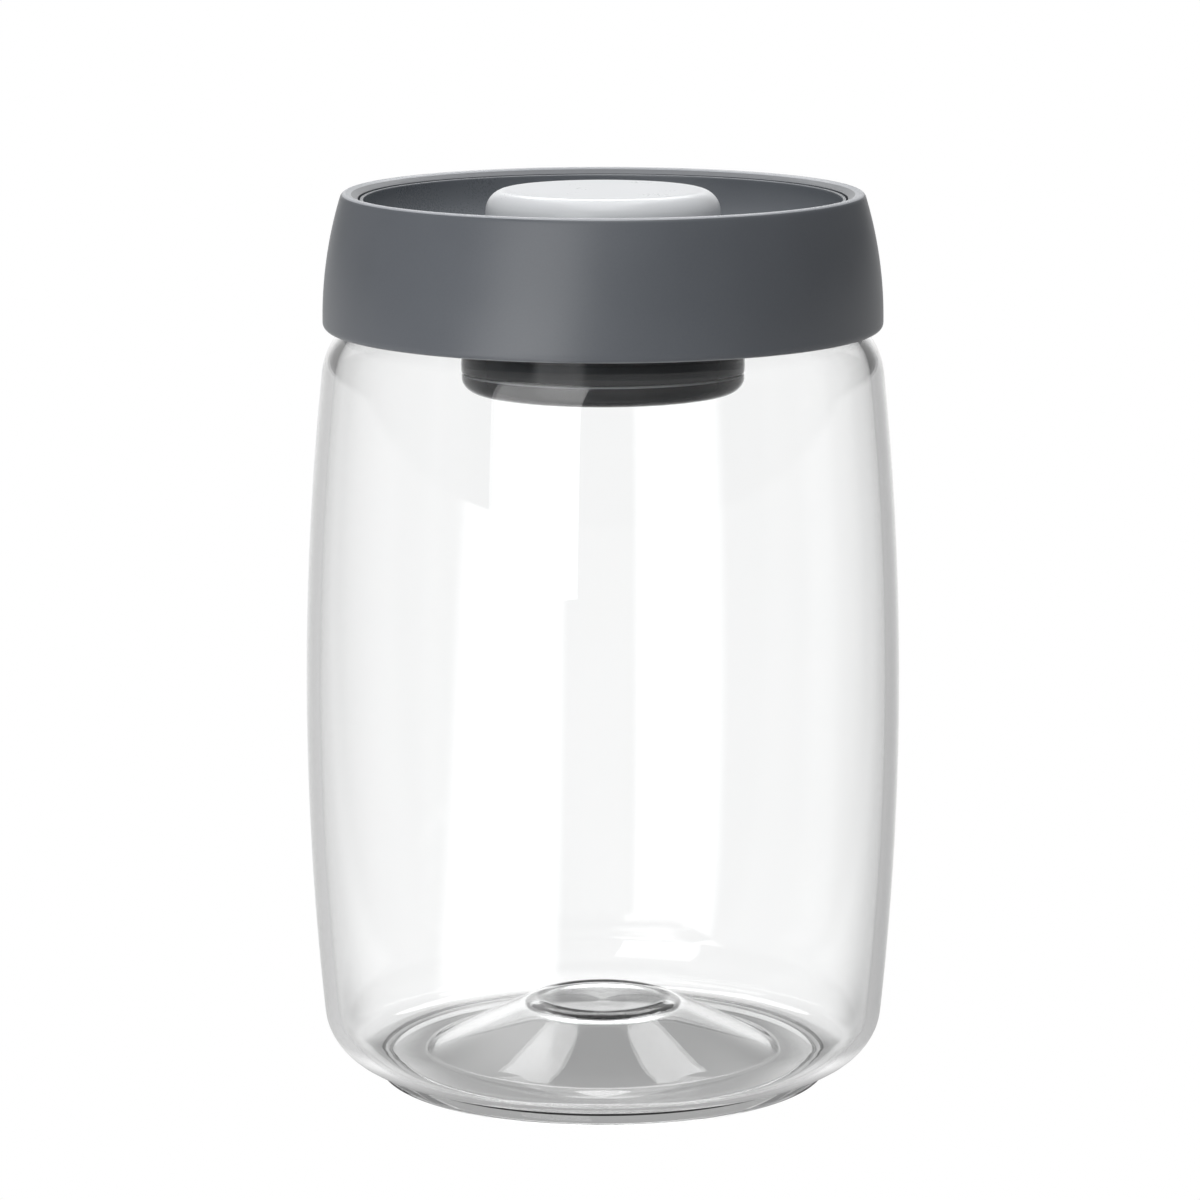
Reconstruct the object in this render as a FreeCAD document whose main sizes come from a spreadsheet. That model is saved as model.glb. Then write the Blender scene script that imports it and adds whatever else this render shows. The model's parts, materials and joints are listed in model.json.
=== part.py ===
import FreeCAD, Part
import math
import os
import re
import Sketcher

# Vacuum seal canister: a blown glass jar with a press-pump lid.
# The axis of the jar is Z and the foot ring stands on z = 0.

# Driving sizes, lengths in millimetres and angles in degrees
sizes = {
    # Jar: barrel side, rounded bottom corner, shoulder, neck, foot ring and punt
    "belly_radius": 56.3,
    "belly_height": 71.4,
    "barrel_radius": 585.0,
    "barrel_top": 135.0,
    "jar_wall": 2.6,
    "corner_radius": 10.2,
    "shoulder_radius": 14.0,
    "neck_inset": 8.8,
    "neck_hollow": 4.0,
    "neck_rise": 17.5,
    "rim_round": 1.0,
    "foot_inset": 0.3,
    "foot_width": 1.7,
    "foot_height": 2.9,
    "foot_round": 0.6,
    "foot_lean": 0.6,
    "punt_rise": 9.6,
    "punt_crest_radius": 12.5,
    "punt_dimple": 1.6,
    "punt_round": 6.0,
    "punt_run": 3.0,
    "punt_slope": 22.5,
    # Lid cover: skirt, bowed side, rim that falls inwards, seat for the tray and snap groove
    "lid_overhang": 5.1,
    "lid_rise": 16.2,
    "skirt_drop": 9.4,
    "skirt_wall": 2.3,
    "skirt_edge_round": 1.4,
    "side_start": 1.8,
    "lid_side_radius": 78.0,
    "crest_round": 1.2,
    "rim_slope": 30.0,
    "rim_width": 1.6,
    "lip_height": 7.0,
    "ledge_gap": 0.1,
    "ledge_thickness": 1.5,
    "stop_width": 1.7,
    "groove_depth": 0.7,
    "groove_height": 2.6,
    # Lid tray: finger bowl round the button and guide collar under its deck
    "bowl_depth": 10.7,
    "tray_wall": 1.5,
    "lip_width": 1.0,
    "lip_drop": 0.1,
    "lip_wall": 0.7,
    "lip_round": 0.3,
    "seam_gap": 0.3,
    "button_share": 0.491,
    "collar_drop": 3.5,
    "collar_wall": 1.6,
    "collar_gap": 0.3,
    # Inner lid and mouth gasket
    "plug_gap": 1.0,
    "plug_wall": 2.0,
    "plug_depth": 9.1,
    "plug_round": 1.0,
    "floor_thickness": 2.6,
    "flange_thickness": 2.0,
    "snap_gap": 0.2,
    "tab_width": 9.0,
    "gasket_thickness": 1.5,
    "gasket_gap": 0.05,
    "gasket_margin": 0.8,
    "gasket_round": 0.4,
    "hole_gap": 0.3,
    "boss_radius": 2.3,
    "boss_drop": 2.4,
    "boss_end": 0.8,
    # Pump cylinder, its seal, its end cap and the cap's seal
    "bore_margin": 2.6,
    "cylinder_wall": 2.3,
    "cylinder_taper": 0.4,
    "cylinder_flange": 1.8,
    "flange_land": 0.3,
    "seal_cord_radius": 0.6,
    "seal_room": 0.05,
    "spigot_wall": 1.0,
    "spigot_gap": 0.1,
    "cap_floor": 2.1,
    "cap_height": 4.5,
    "cap_round": 3.4,
    "cap_gap": 0.1,
    "cap_seal_thickness": 0.7,
    "nub_pocket_radius": 5.0,
    "nub_pocket_depth": 1.4,
    "seat_rise": 1.3,
    "seat_margin": 2.0,
    # Umbrella valves in the end cap and in the piston
    "valve_stem_radius": 1.5,
    "valve_hole_gap": 0.05,
    "valve_nub_radius": 2.2,
    "valve_nub_height": 1.0,
    "valve_disc_radius": 7.0,
    "valve_disc_edge": 0.35,
    "valve_disc_crown": 0.85,
    "air_hole_circle": 4.4,
    "air_hole_radius": 0.9,
    # Piston, its lip seal and the button
    "button_stroke": 8.0,
    "button_proud": 0.4,
    "button_wall": 2.6,
    "button_top": 2.0,
    "button_round": 4.0,
    "button_inner_round": 2.0,
    "button_gap": 0.35,
    "post_inset": 6.5,
    "post_radius": 2.8,
    "piston_height": 5.4,
    "piston_gap": 0.2,
    "piston_crown": 2.2,
    "piston_skirt": 4.0,
    "seal_groove_depth": 1.5,
    "seal_groove_low": 1.0,
    "seal_groove_height": 2.4,
    "seal_band": 0.8,
    "seal_relief": 0.5,
    "running_gap": 0.05,
    "end_gap": 0.8,
    # Screws
    "screw_shank_radius": 0.95,
    "screw_pilot_radius": 1.0,
    "screw_clear_radius": 1.2,
    "screw_head_radius": 1.8,
    "screw_head_height": 1.5,
    "screw_length": 5.6,
    "screw_land": 0.6,
    "sunk_head_height": 1.2,
    "sunk_room": 0.1,
    "pilot_depth": 6.5,
    # Return spring
    "spring_wire_radius": 0.45,
    "spring_edge_gap": 0.6,
    "spring_turn_step": 1.4,
    "spring_end_gap": 0.2,
    # Turn ring with its keys and cam arm
    "turn_angle": 45.0,
    "turn_gap": 0.3,
    "key_gap": 0.6,
    "key_height": 1.6,
    "key_width": 2.8,
    "key_depth": 1.4,
    "key_room": 0.2,
    "hub_wall": 3.6,
    "arm_gap": 1.9,
    "arm_clear": 0.3,
    "arm_thickness": 1.2,
    "arm_margin": 15.0,
    "slot_gap": 0.5,
    "slot_margin": 4.0,
    "ramp_base": 0.2,
    "ramp_width": 7.4,
    # Release valve and its washer
    "valve_lift": 1.5,
    "washer_thickness": 1.0,
    "washer_margin": 0.2,
    "seat_gap": 0.05,
    "disc_radius": 2.4,
    "disc_thickness": 0.9,
    "pin_radius": 1.1,
    "pin_drop": 0.8,
    "pin_room": 0.5,
    "head_radius": 2.6,
    "head_gap": 0.3,
    "head_thickness": 1.0,
    # Every cut runs past the face that it breaks through by this much
    "cut_overrun": 1.0,
}

# Counts and the step of each round pattern
full_turn = 360
tab_count = 6
cylinder_screw_count = 3
air_hole_count = 6
post_count = 3
key_count = 3
spring_turns = 5
spring_flat_turns = 1
spans_per_turn = 4
valve_azimuth = 90

# Places that follow from the driving sizes
places = {
    # Jar
    "rim_height": "barrel_top + neck_rise",
    "neck_radius": "belly_radius - neck_inset",
    "mouth_radius": "neck_radius - jar_wall",
    "barrel_axis": "belly_radius - barrel_radius",
    "corner_level": "foot_height + corner_radius",
    "corner_run": "sqrt((barrel_radius - corner_radius)^2 - (belly_height - corner_level)^2)",
    "corner_middle": "barrel_axis + corner_run",
    "shoulder_lean": "(barrel_top - belly_height) / barrel_radius",
    "shoulder_flat": "sqrt(1 - shoulder_lean^2)",
    "shoulder_middle": "barrel_axis + (barrel_radius - shoulder_radius) * shoulder_flat",
    "shoulder_level": "belly_height + (barrel_radius - shoulder_radius) * shoulder_lean",
    "hollow_reach": "shoulder_radius + neck_hollow",
    "hollow_run": "neck_radius + neck_hollow - shoulder_middle",
    "hollow_rise": "sqrt(hollow_reach^2 - hollow_run^2)",
    "foot_radius": "corner_middle - foot_inset",
    "foot_bore": "foot_radius - foot_width",
    "flank_radius": "punt_crest_radius + punt_run",
    "flank_level": "punt_rise - punt_run * tan(punt_slope)",
    "flank_rise": "flank_level - foot_height",
    "punt_bow": "((corner_middle - flank_radius)^2 + flank_rise^2) / (2 * flank_rise)",
    # Lid cover, levels above the lower edge of the skirt
    "lid_radius": "neck_radius + lid_overhang",
    "lid_base": "rim_height - skirt_drop",
    "lid_height": "skirt_drop + lid_rise",
    "skirt_bore": "lid_radius - skirt_wall",
    "side_axis": "lid_radius - lid_side_radius",
    "crest_level": "lid_height - crest_round",
    "crest_reach": "lid_side_radius - crest_round",
    "crest_run": "sqrt(crest_reach^2 - (crest_level - side_start)^2)",
    "crest_middle": "side_axis + crest_run",
    "rim_radius": "crest_middle - crest_round * sin(rim_slope)",
    "rim_level": "crest_level + crest_round * cos(rim_slope)",
    "seam_radius": "rim_radius - rim_width",
    "seam_level": "rim_level - rim_width * tan(rim_slope)",
    "ledge_level": "seam_level - lip_height",
    "groove_radius": "skirt_bore + groove_depth",
    "stop_radius": "skirt_bore - stop_width",
    # Inner lid
    "plug_radius": "mouth_radius - plug_gap",
    "plug_bore": "plug_radius - plug_wall",
    "floor_base": "rim_height - plug_depth",
    "floor_top": "floor_base + floor_thickness",
    "flange_base": "rim_height + gasket_gap + gasket_thickness",
    "flange_radius": "skirt_bore - snap_gap",
    "stop_height": "flange_base + flange_thickness",
    "stop_level": "stop_height - lid_base",
    # Lid tray
    "bowl_radius": "seam_radius - lip_width",
    "lip_radius": "seam_radius - seam_gap",
    "deck_top": "rim_height + lid_rise - bowl_depth",
    "deck_base": "deck_top - tray_wall",
    "tray_base": "deck_base - collar_drop",
    "lip_top": "lid_base + seam_level - lip_drop",
    "ledge_top": "lid_base + ledge_level",
    "bowl_bend": "lip_top - lip_wall - deck_top",
    "bowl_foot": "bowl_radius - bowl_bend",
    "bowl_back": "bowl_bend + tray_wall",
    "bowl_seat": "bowl_foot + sqrt(bowl_back^2 - (deck_top + bowl_bend - ledge_top)^2)",
    "ledge_radius": "bowl_seat + ledge_gap",
    # Button, hub and pump
    "button_radius": "bowl_radius * button_share",
    "button_bore": "button_radius - button_wall",
    "hub_bore": "button_radius + button_gap",
    "hub_radius": "hub_bore + hub_wall",
    "collar_bore": "hub_radius + collar_gap",
    "cylinder_bore": "button_radius + bore_margin",
    "cylinder_radius": "cylinder_bore + cylinder_wall",
    "lid_hole_radius": "cylinder_radius + hole_gap",
    "recess_radius": "cylinder_radius + 2 * seal_cord_radius + 2 * seal_room",
    "recess_depth": "2 * seal_cord_radius + seal_room",
    "screw_circle": "recess_radius + screw_land + screw_pilot_radius",
    "cylinder_flange_radius": "screw_circle + screw_head_radius + flange_land",
    "cylinder_flange_top": "floor_top + cylinder_flange",
    "hub_base": "cylinder_flange_top + turn_gap",
    "piston_top": "hub_base - key_gap",
    "piston_base": "piston_top - piston_height",
    "piston_radius": "cylinder_bore - piston_gap",
    "piston_recess_radius": "piston_radius - piston_skirt",
    "crown_base": "piston_top - piston_crown",
    "chamber_floor": "piston_base - button_stroke - end_gap",
    "chamber_base": "chamber_floor - cap_floor",
    "cap_seam": "chamber_base + cap_height",
    "cap_radius": "cylinder_radius - cylinder_taper",
    "spigot_radius": "cylinder_bore + spigot_wall",
    "cap_bore": "spigot_radius + spigot_gap",
    "cylinder_base": "chamber_floor + cap_seal_thickness",
    "seat_radius": "valve_disc_radius + seat_margin",
    "valve_hole_radius": "valve_stem_radius + valve_hole_gap",
    "button_height": "rim_height + lid_rise + button_proud - piston_top",
    "post_circle": "button_radius - post_inset",
    # Turn ring and release valve
    "hub_top": "deck_base - turn_gap",
    "screw_head_top": "cylinder_flange_top + screw_head_height",
    "valve_circle": "(cylinder_flange_radius + plug_bore) / 2",
    "disc_base": "floor_top + seat_gap + washer_thickness",
    "disc_top": "disc_base + disc_thickness",
    "arm_base": "max(disc_top + valve_lift; screw_head_top) + arm_clear",
    "arm_top": "arm_base + arm_thickness",
    "arm_radius": "plug_bore - arm_gap",
    "ramp_half": "valve_circle * sin(turn_angle / 2 + slot_margin)",
    "ramp_swing": "valve_lift / 2 * ramp_half / (valve_circle * sin(turn_angle / 2))",
    "ramp_middle": "arm_top + ramp_base + valve_lift / 2",
    "head_base": "arm_top + ramp_base + head_gap",
    "pin_base": "floor_base - pin_drop",
}

doc = FreeCAD.newDocument("vacuum_canister")
sheet = doc.addObject("Spreadsheet::Sheet", "Sizes")
cells = [(name, str(number)) for name, number in sizes.items()]
cells += [(name, "=" + formula) for name, formula in places.items()]
for row, (name, content) in enumerate(cells, start=1):
    sheet.set(f"A{row}", name)
    sheet.set(f"B{row}", content)
    sheet.setAlias(f"B{row}", name)
doc.recompute()


# A formula in sheet names, as an expression that other objects can hold
def bound(formula):
    return re.sub(r"\b([a-z]+(?:_[a-z]+)+)\b", r"Sizes.\1", formula)


# The number that a formula in sheet names gives
def value(formula):
    return float(sheet.evalExpression(formula))


# Ties properties of an object to formulas in sheet names
def tie(item, **formulas):
    for name, formula in formulas.items():
        item.setExpression(name, bound(formula))


# Ties an object's place to formulas in sheet names
def put(item, x="0", y="0", z="0"):
    for axis, formula in (("x", x), ("y", y), ("z", z)):
        item.setExpression(f"Placement.Base.{axis}", bound(formula))


# One corner of an outline, with the round on it, or the arc that leads from it to the next corner
# (side is 1 where the arc bends to the left of the way, and -1 where it bends to the right)
def at(x, y, rounding=None, bow=None, side=1):
    return {"x": x, "y": y, "rounding": rounding, "bow": bow, "side": side}


# The same run of corners drawn from its other end
def backwards(corners):
    arcs = [(corner["bow"], -corner["side"]) for corner in reversed(corners[:-1])] + [(None, 1)]
    return [at(corner["x"], corner["y"], corner["rounding"], bow, side)
            for corner, (bow, side) in zip(reversed(corners), arcs)]


def vector(x, y):
    return FreeCAD.Vector(x, y, 0)


# The circle through two points with a given radius, its middle left or right of the way
def bow_circle(start, end, radius, side):
    half = (end - start) / 2
    across = vector(-half.y, half.x).normalize()
    rise = math.sqrt(max(radius ** 2 - half.Length ** 2, 0))
    middle = start + half + across * (side * rise)
    return Part.Circle(middle, FreeCAD.Vector(0, 0, 1), radius)


# An arc edge of a sketch; says which of its ends is the start of the way
def add_arc(sketch, circle, start, end, side):
    first, last = (start, end) if side > 0 else (end, start)
    arc = Part.ArcOfCircle(circle, circle.parameter(first), circle.parameter(last))
    index = sketch.addGeometry(arc)
    return (index, 1, 2) if side > 0 else (index, 2, 1)


# Fixes a sketch point at a place from the sketch origin, tied to the sheet
def fix_point(sketch, index, end, x, y):
    for kind, formula, axis in (("DistanceX", x, -2), ("DistanceY", y, -1)):
        length = value(formula)
        if formula == "0":
            sketch.addConstraint(Sketcher.Constraint("PointOnObject", index, end, axis))
        else:
            number = sketch.addConstraint(Sketcher.Constraint(kind, -1, 1, index, end, length))
            sketch.setExpression(f"Constraints[{number}]", bound(formula))


def fix_radius(sketch, index, formula):
    number = sketch.addConstraint(Sketcher.Constraint("Radius", index, value(formula)))
    sketch.setExpression(f"Constraints[{number}]", bound(formula))


# Draws a closed outline of lines and arcs, every corner tied to the sheet
def draw_outline(sketch, corners):
    count = len(corners)
    points = [vector(value(corner["x"]), value(corner["y"])) for corner in corners]
    arrive, leave, middles = list(points), list(points), {}
    for i, corner in enumerate(corners):
        if corner["rounding"]:
            back = (points[i - 1] - points[i]).normalize()
            ahead = (points[(i + 1) % count] - points[i]).normalize()
            half = back.getAngle(ahead) / 2
            radius = value(corner["rounding"])
            arrive[i] = points[i] + back * (radius / math.tan(half))
            leave[i] = points[i] + ahead * (radius / math.tan(half))
            middles[i] = points[i] + (back + ahead).normalize() * (radius / math.sin(half))
    edges = []
    for i, corner in enumerate(corners):
        start, end = leave[i], arrive[(i + 1) % count]
        if corner["bow"]:
            circle = bow_circle(start, end, value(corner["bow"]), corner["side"])
            edges.append(add_arc(sketch, circle, start, end, corner["side"]))
            fix_radius(sketch, edges[-1][0], corner["bow"])
        else:
            edges.append((sketch.addGeometry(Part.LineSegment(start, end)), 1, 2))
    for i, corner in enumerate(corners):
        before, start_before, end_before = edges[i - 1]
        after, start_after, end_after = edges[i]
        if corner["rounding"]:
            turn = (points[i] - points[i - 1]).cross(points[(i + 1) % count] - points[i]).z
            side = 1 if turn > 0 else -1
            circle = Part.Circle(middles[i], FreeCAD.Vector(0, 0, 1), value(corner["rounding"]))
            arc, start_arc, end_arc = add_arc(sketch, circle, arrive[i], leave[i], side)
            point = sketch.addGeometry(Part.Point(points[i]), True)
            sketch.addConstraint([
                Sketcher.Constraint("Tangent", before, end_before, arc, start_arc),
                Sketcher.Constraint("Tangent", arc, end_arc, after, start_after),
                Sketcher.Constraint("PointOnObject", point, 1, before),
                Sketcher.Constraint("PointOnObject", point, 1, after)])
            fix_radius(sketch, arc, corner["rounding"])
            fix_point(sketch, point, 1, corner["x"], corner["y"])
        else:
            sketch.addConstraint(Sketcher.Constraint("Coincident", before, end_before, after, start_after))
            fix_point(sketch, after, start_after, corner["x"], corner["y"])


def origin_plane(body, role):
    return next(item for item in body.Origin.OriginFeatures if item.Role == role)


def new_sketch(body, name, role):
    sketch = body.newObject("Sketcher::SketchObject", name)
    sketch.AttachmentSupport = (origin_plane(body, role), [""])
    sketch.MapMode = "FlatFace"
    return sketch


# A sub-part turned about its own Z axis from an outline of radius and height
def turned(name, corners, x="0", y="0", z="0"):
    body = doc.addObject("PartDesign::Body", name)
    body.Label = name
    sketch = new_sketch(body, name + "_outline", "XZ_Plane")
    draw_outline(sketch, corners)
    feature = body.newObject("PartDesign::Revolution", name + "_turn")
    feature.Profile = sketch
    feature.ReferenceAxis = (sketch, ["V_Axis"])
    feature.Angle = full_turn
    put(body, x, y, z)
    doc.recompute()
    return body


# A round mark on the sketch's X axis
def round_mark(sketch, circle, radius):
    middle = vector(value(circle), 0)
    index = sketch.addGeometry(Part.Circle(middle, FreeCAD.Vector(0, 0, 1), value(radius)))
    fix_point(sketch, index, 3, circle, "0")
    fix_radius(sketch, index, radius)


# A block mark across the sketch's X axis, from an inner to an outer distance
def block_mark(sketch, inner, outer, width):
    half = f"({width}) / 2"
    draw_outline(sketch, [at(inner, f"-{half}"), at(outer, f"-{half}"), at(outer, half), at(inner, half)])


# Pads or pockets a mark of a turned sub-part upwards from a level, and repeats it round the axis
def ring_of(body, kind, name, mark, marks, level, reach, count, azimuth=0):
    sketch = new_sketch(body, name + "_mark", "XY_Plane")
    rotation = FreeCAD.Rotation(FreeCAD.Vector(0, 0, 1), azimuth)
    sketch.AttachmentOffset = FreeCAD.Placement(FreeCAD.Vector(0, 0, 0), rotation)
    sketch.setExpression("AttachmentOffset.Base.z", bound(level))
    mark(sketch, *marks)
    before = body.Shape.Volume
    feature = body.newObject("PartDesign::" + kind, name)
    feature.Profile = sketch
    feature.Reversed = kind == "Pocket"
    tie(feature, Length=reach)
    doc.recompute()
    if count > 1:
        pattern = body.newObject("PartDesign::PolarPattern", name + "_ring")
        pattern.Originals = [feature]
        pattern.Axis = (sketch, ["N_Axis"])
        pattern.Angle = full_turn
        pattern.Occurrences = count
        body.Tip = pattern
        doc.recompute()
    if (body.Shape.Volume > before) != (kind == "Pad"):
        raise RuntimeError(name + " changed nothing")


def part(kind, name, **formulas):
    item = doc.addObject("Part::" + kind, name)
    tie(item, **formulas)
    return item


# A tube or a sector of one, from an inner to an outer radius
def tube(name, inner, outer, base, height, start=0, sweep=None):
    rods = []
    for end, radius in (("outer", outer), ("inner", inner)):
        rod = part("Cylinder", f"{name}_{end}", Radius=radius, Height=height)
        put(rod, z=base)
        rods.append(rod)
    if sweep:
        rods[0].Placement.Rotation = FreeCAD.Rotation(FreeCAD.Vector(0, 0, 1), start)
        tie(rods[0], Angle=sweep)
    cut = part("Cut", name)
    cut.Base, cut.Tool = rods
    return cut


# One wall line of the jar, from the floor to the neck, at a depth into the glass
def jar_skin(depth):
    barrel = f"(barrel_radius - {depth})"
    low_share = f"{barrel} / (barrel_radius - corner_radius)"
    high_share = f"(shoulder_radius - {depth}) / hollow_reach"
    return [
        at("corner_middle", f"foot_height + {depth}", bow=f"corner_radius - {depth}"),
        at(f"barrel_axis + corner_run * {low_share}",
           f"belly_height - (belly_height - corner_level) * {low_share}", bow=barrel),
        at(f"barrel_axis + {barrel} * shoulder_flat",
           f"belly_height + {barrel} * shoulder_lean", bow=f"shoulder_radius - {depth}"),
        at(f"shoulder_middle + hollow_run * {high_share}",
           f"shoulder_level + hollow_rise * {high_share}", bow=f"neck_hollow + {depth}", side=-1),
        at(f"neck_radius - {depth}", "shoulder_level + hollow_rise"),
    ]


jar = turned("jar", [
    at("0", "punt_rise - punt_dimple"),
    at("punt_crest_radius", "punt_rise", "punt_round"),
    at("flank_radius", "flank_level", bow="punt_bow", side=-1),
    at("foot_bore - foot_lean", "foot_height"),
    at("foot_bore", "0", "foot_round"),
    at("foot_radius", "0", "foot_round"),
    at("foot_radius", "foot_height"),
    *jar_skin("0"),
    at("neck_radius", "rim_height", "rim_round"),
    at("mouth_radius", "rim_height", "rim_round"),
    *backwards(jar_skin("jar_wall"))[:-1],
    at("corner_middle", "foot_height + jar_wall", bow="punt_bow"),
    at("flank_radius", "flank_level + jar_wall"),
    at("punt_crest_radius", "punt_rise + jar_wall", "punt_round"),
    at("0", "punt_rise - punt_dimple + jar_wall"),
])

crest_share = "lid_side_radius / crest_reach"
lid_cover = turned("lid_cover", [
    at("skirt_bore", "0"),
    at("lid_radius", "0", "skirt_edge_round"),
    at("lid_radius", "side_start", bow="lid_side_radius"),
    at(f"side_axis + crest_run * {crest_share}",
       f"side_start + (crest_level - side_start) * {crest_share}", bow="crest_round"),
    at("rim_radius", "rim_level"),
    at("seam_radius", "seam_level"),
    at("seam_radius", "ledge_level"),
    at("ledge_radius", "ledge_level"),
    at("ledge_radius", "ledge_level - ledge_thickness"),
    at("seam_radius", "ledge_level - ledge_thickness"),
    at("stop_radius", "stop_level"),
    at("groove_radius", "stop_level"),
    at("groove_radius", "stop_level - groove_height"),
    at("skirt_bore", "stop_level - groove_height"),
], z="lid_base")

lid_tray = turned("lid_tray", [
    at("hub_bore", "deck_top - tray_base"),
    at("bowl_foot", "deck_top - tray_base", bow="bowl_bend"),
    at("bowl_radius", "lip_top - lip_wall - tray_base"),
    at("bowl_radius", "lip_top - tray_base", "lip_round"),
    at("lip_radius", "lip_top - tray_base", "lip_round"),
    at("lip_radius", "ledge_top - tray_base"),
    at("bowl_seat", "ledge_top - tray_base", bow="bowl_back", side=-1),
    at("bowl_foot", "collar_drop"),
    at("collar_bore + collar_wall", "collar_drop"),
    at("collar_bore + collar_wall", "0"),
    at("collar_bore", "0"),
    at("collar_bore", "collar_drop"),
    at("hub_bore", "collar_drop"),
], z="tray_base")

inner_lid = turned("inner_lid", [
    at("lid_hole_radius", "0"),
    at("plug_radius", "0", "plug_round"),
    at("plug_radius", "flange_base - floor_base"),
    at("flange_radius", "flange_base - floor_base"),
    at("flange_radius", "stop_height - floor_base"),
    at("plug_bore", "stop_height - floor_base"),
    at("plug_bore", "floor_thickness", "plug_round"),
    at("recess_radius", "floor_thickness"),
    at("recess_radius", "floor_thickness - recess_depth"),
    at("lid_hole_radius", "floor_thickness - recess_depth"),
], z="floor_base")
ring_of(inner_lid, "Pad", "snap_tab", block_mark,
        ("flange_radius - cut_overrun", "groove_radius - snap_gap", "tab_width"),
        "flange_base - floor_base", "flange_thickness", tab_count)
ring_of(inner_lid, "Pad", "screw_boss", round_mark, ("screw_circle", "boss_radius"),
        "-boss_drop", "boss_drop + floor_thickness - recess_depth", cylinder_screw_count)
ring_of(inner_lid, "Pocket", "screw_pilot", round_mark, ("screw_circle", "screw_pilot_radius"),
        "boss_end - boss_drop", "boss_drop + floor_thickness", cylinder_screw_count)
ring_of(inner_lid, "Pocket", "release_port", round_mark, ("valve_circle", "pin_radius + pin_room"),
        "-cut_overrun", "floor_thickness + 2 * cut_overrun", 1, valve_azimuth)

mouth_gasket = turned("mouth_gasket", [
    at("plug_radius + gasket_gap", "0", "gasket_round"),
    at("neck_radius + gasket_margin", "0", "gasket_round"),
    at("neck_radius + gasket_margin", "gasket_thickness", "gasket_round"),
    at("plug_radius + gasket_gap", "gasket_thickness"),
], z="rim_height + gasket_gap")

pump_cylinder = turned("pump_cylinder", [
    at("cylinder_bore", "0"),
    at("spigot_radius", "0"),
    at("spigot_radius", "cap_seam + cap_gap - cylinder_base"),
    at("cap_radius", "cap_seam + cap_gap - cylinder_base"),
    at("cylinder_radius", "floor_top - cylinder_base"),
    at("cylinder_flange_radius", "floor_top - cylinder_base"),
    at("cylinder_flange_radius", "cylinder_flange_top - cylinder_base"),
    at("cylinder_bore", "cylinder_flange_top - cylinder_base"),
], z="cylinder_base")
ring_of(pump_cylinder, "Pocket", "screw_hole", round_mark, ("screw_circle", "screw_clear_radius"),
        "floor_top - cylinder_base - cut_overrun", "cylinder_flange + 2 * cut_overrun",
        cylinder_screw_count)

cylinder_seal = part("Torus", "cylinder_seal", Radius2="seal_cord_radius",
                     Radius1="cylinder_radius + seal_cord_radius + seal_room")
put(cylinder_seal, z="floor_top - seal_cord_radius - seal_room / 2")

pump_end_cap = turned("pump_end_cap", [
    at("valve_hole_radius", "nub_pocket_depth"),
    at("nub_pocket_radius", "nub_pocket_depth"),
    at("nub_pocket_radius", "0"),
    at("cap_radius", "0", "cap_round"),
    at("cap_radius", "cap_height"),
    at("cap_bore", "cap_height"),
    at("cap_bore", "cap_floor"),
    at("seat_radius", "cap_floor"),
    at("seat_radius", "cap_floor + seat_rise"),
    at("valve_hole_radius", "cap_floor + seat_rise"),
], z="chamber_base")
ring_of(pump_end_cap, "Pocket", "inlet_hole", round_mark, ("air_hole_circle", "air_hole_radius"),
        "nub_pocket_depth - cut_overrun", "cap_floor + seat_rise + 2 * cut_overrun", air_hole_count)

end_cap_seal = turned("end_cap_seal", [
    at("cylinder_bore + seal_room", "0"),
    at("spigot_radius", "0"),
    at("spigot_radius", "cap_seal_thickness"),
    at("cylinder_bore + seal_room", "cap_seal_thickness"),
], z="chamber_floor")


# An umbrella valve: a nub, a stem through a plate and a thin domed disc over the plate's air holes
def umbrella_valve(name, plate, plate_base):
    grip = f"({plate} + 2 * valve_hole_gap)"
    return turned(name, [
        at("0", "0"),
        at("valve_nub_radius", "0"),
        at("valve_nub_radius", "valve_nub_height"),
        at("valve_stem_radius", "valve_nub_height"),
        at("valve_stem_radius", f"valve_nub_height + {grip}"),
        at("valve_disc_radius", f"valve_nub_height + {grip}"),
        at("valve_disc_radius", f"valve_nub_height + {grip} + valve_disc_edge"),
        at("0", f"valve_nub_height + {grip} + valve_disc_crown"),
    ], z=f"{plate_base} - valve_hole_gap - valve_nub_height")


inlet_valve = umbrella_valve("inlet_valve", "cap_floor + seat_rise - nub_pocket_depth",
                             "chamber_base + nub_pocket_depth")
exhaust_valve = umbrella_valve("exhaust_valve", "piston_crown", "crown_base")

piston = turned("piston", [
    at("piston_recess_radius", "0"),
    at("piston_radius", "0"),
    at("piston_radius", "seal_groove_low"),
    at("piston_radius - seal_groove_depth", "seal_groove_low"),
    at("piston_radius - seal_groove_depth", "seal_groove_low + seal_groove_height"),
    at("piston_radius", "seal_groove_low + seal_groove_height"),
    at("piston_radius", "piston_height"),
    at("valve_hole_radius", "piston_height"),
    at("valve_hole_radius", "piston_height - piston_crown"),
    at("piston_recess_radius", "piston_height - piston_crown"),
], z="piston_base")
ring_of(piston, "Pocket", "exhaust_hole", round_mark, ("air_hole_circle", "air_hole_radius"),
        "piston_height - piston_crown - cut_overrun", "piston_crown + 2 * cut_overrun", air_hole_count)
ring_of(piston, "Pocket", "post_hole", round_mark, ("post_circle", "screw_clear_radius"),
        "piston_height - piston_crown - cut_overrun", "piston_crown + 2 * cut_overrun", post_count)
ring_of(piston, "Pocket", "head_sink", round_mark, ("post_circle", "screw_head_radius + sunk_room"),
        "piston_height - piston_crown - cut_overrun", "sunk_head_height + sunk_room + cut_overrun",
        post_count)

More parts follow.
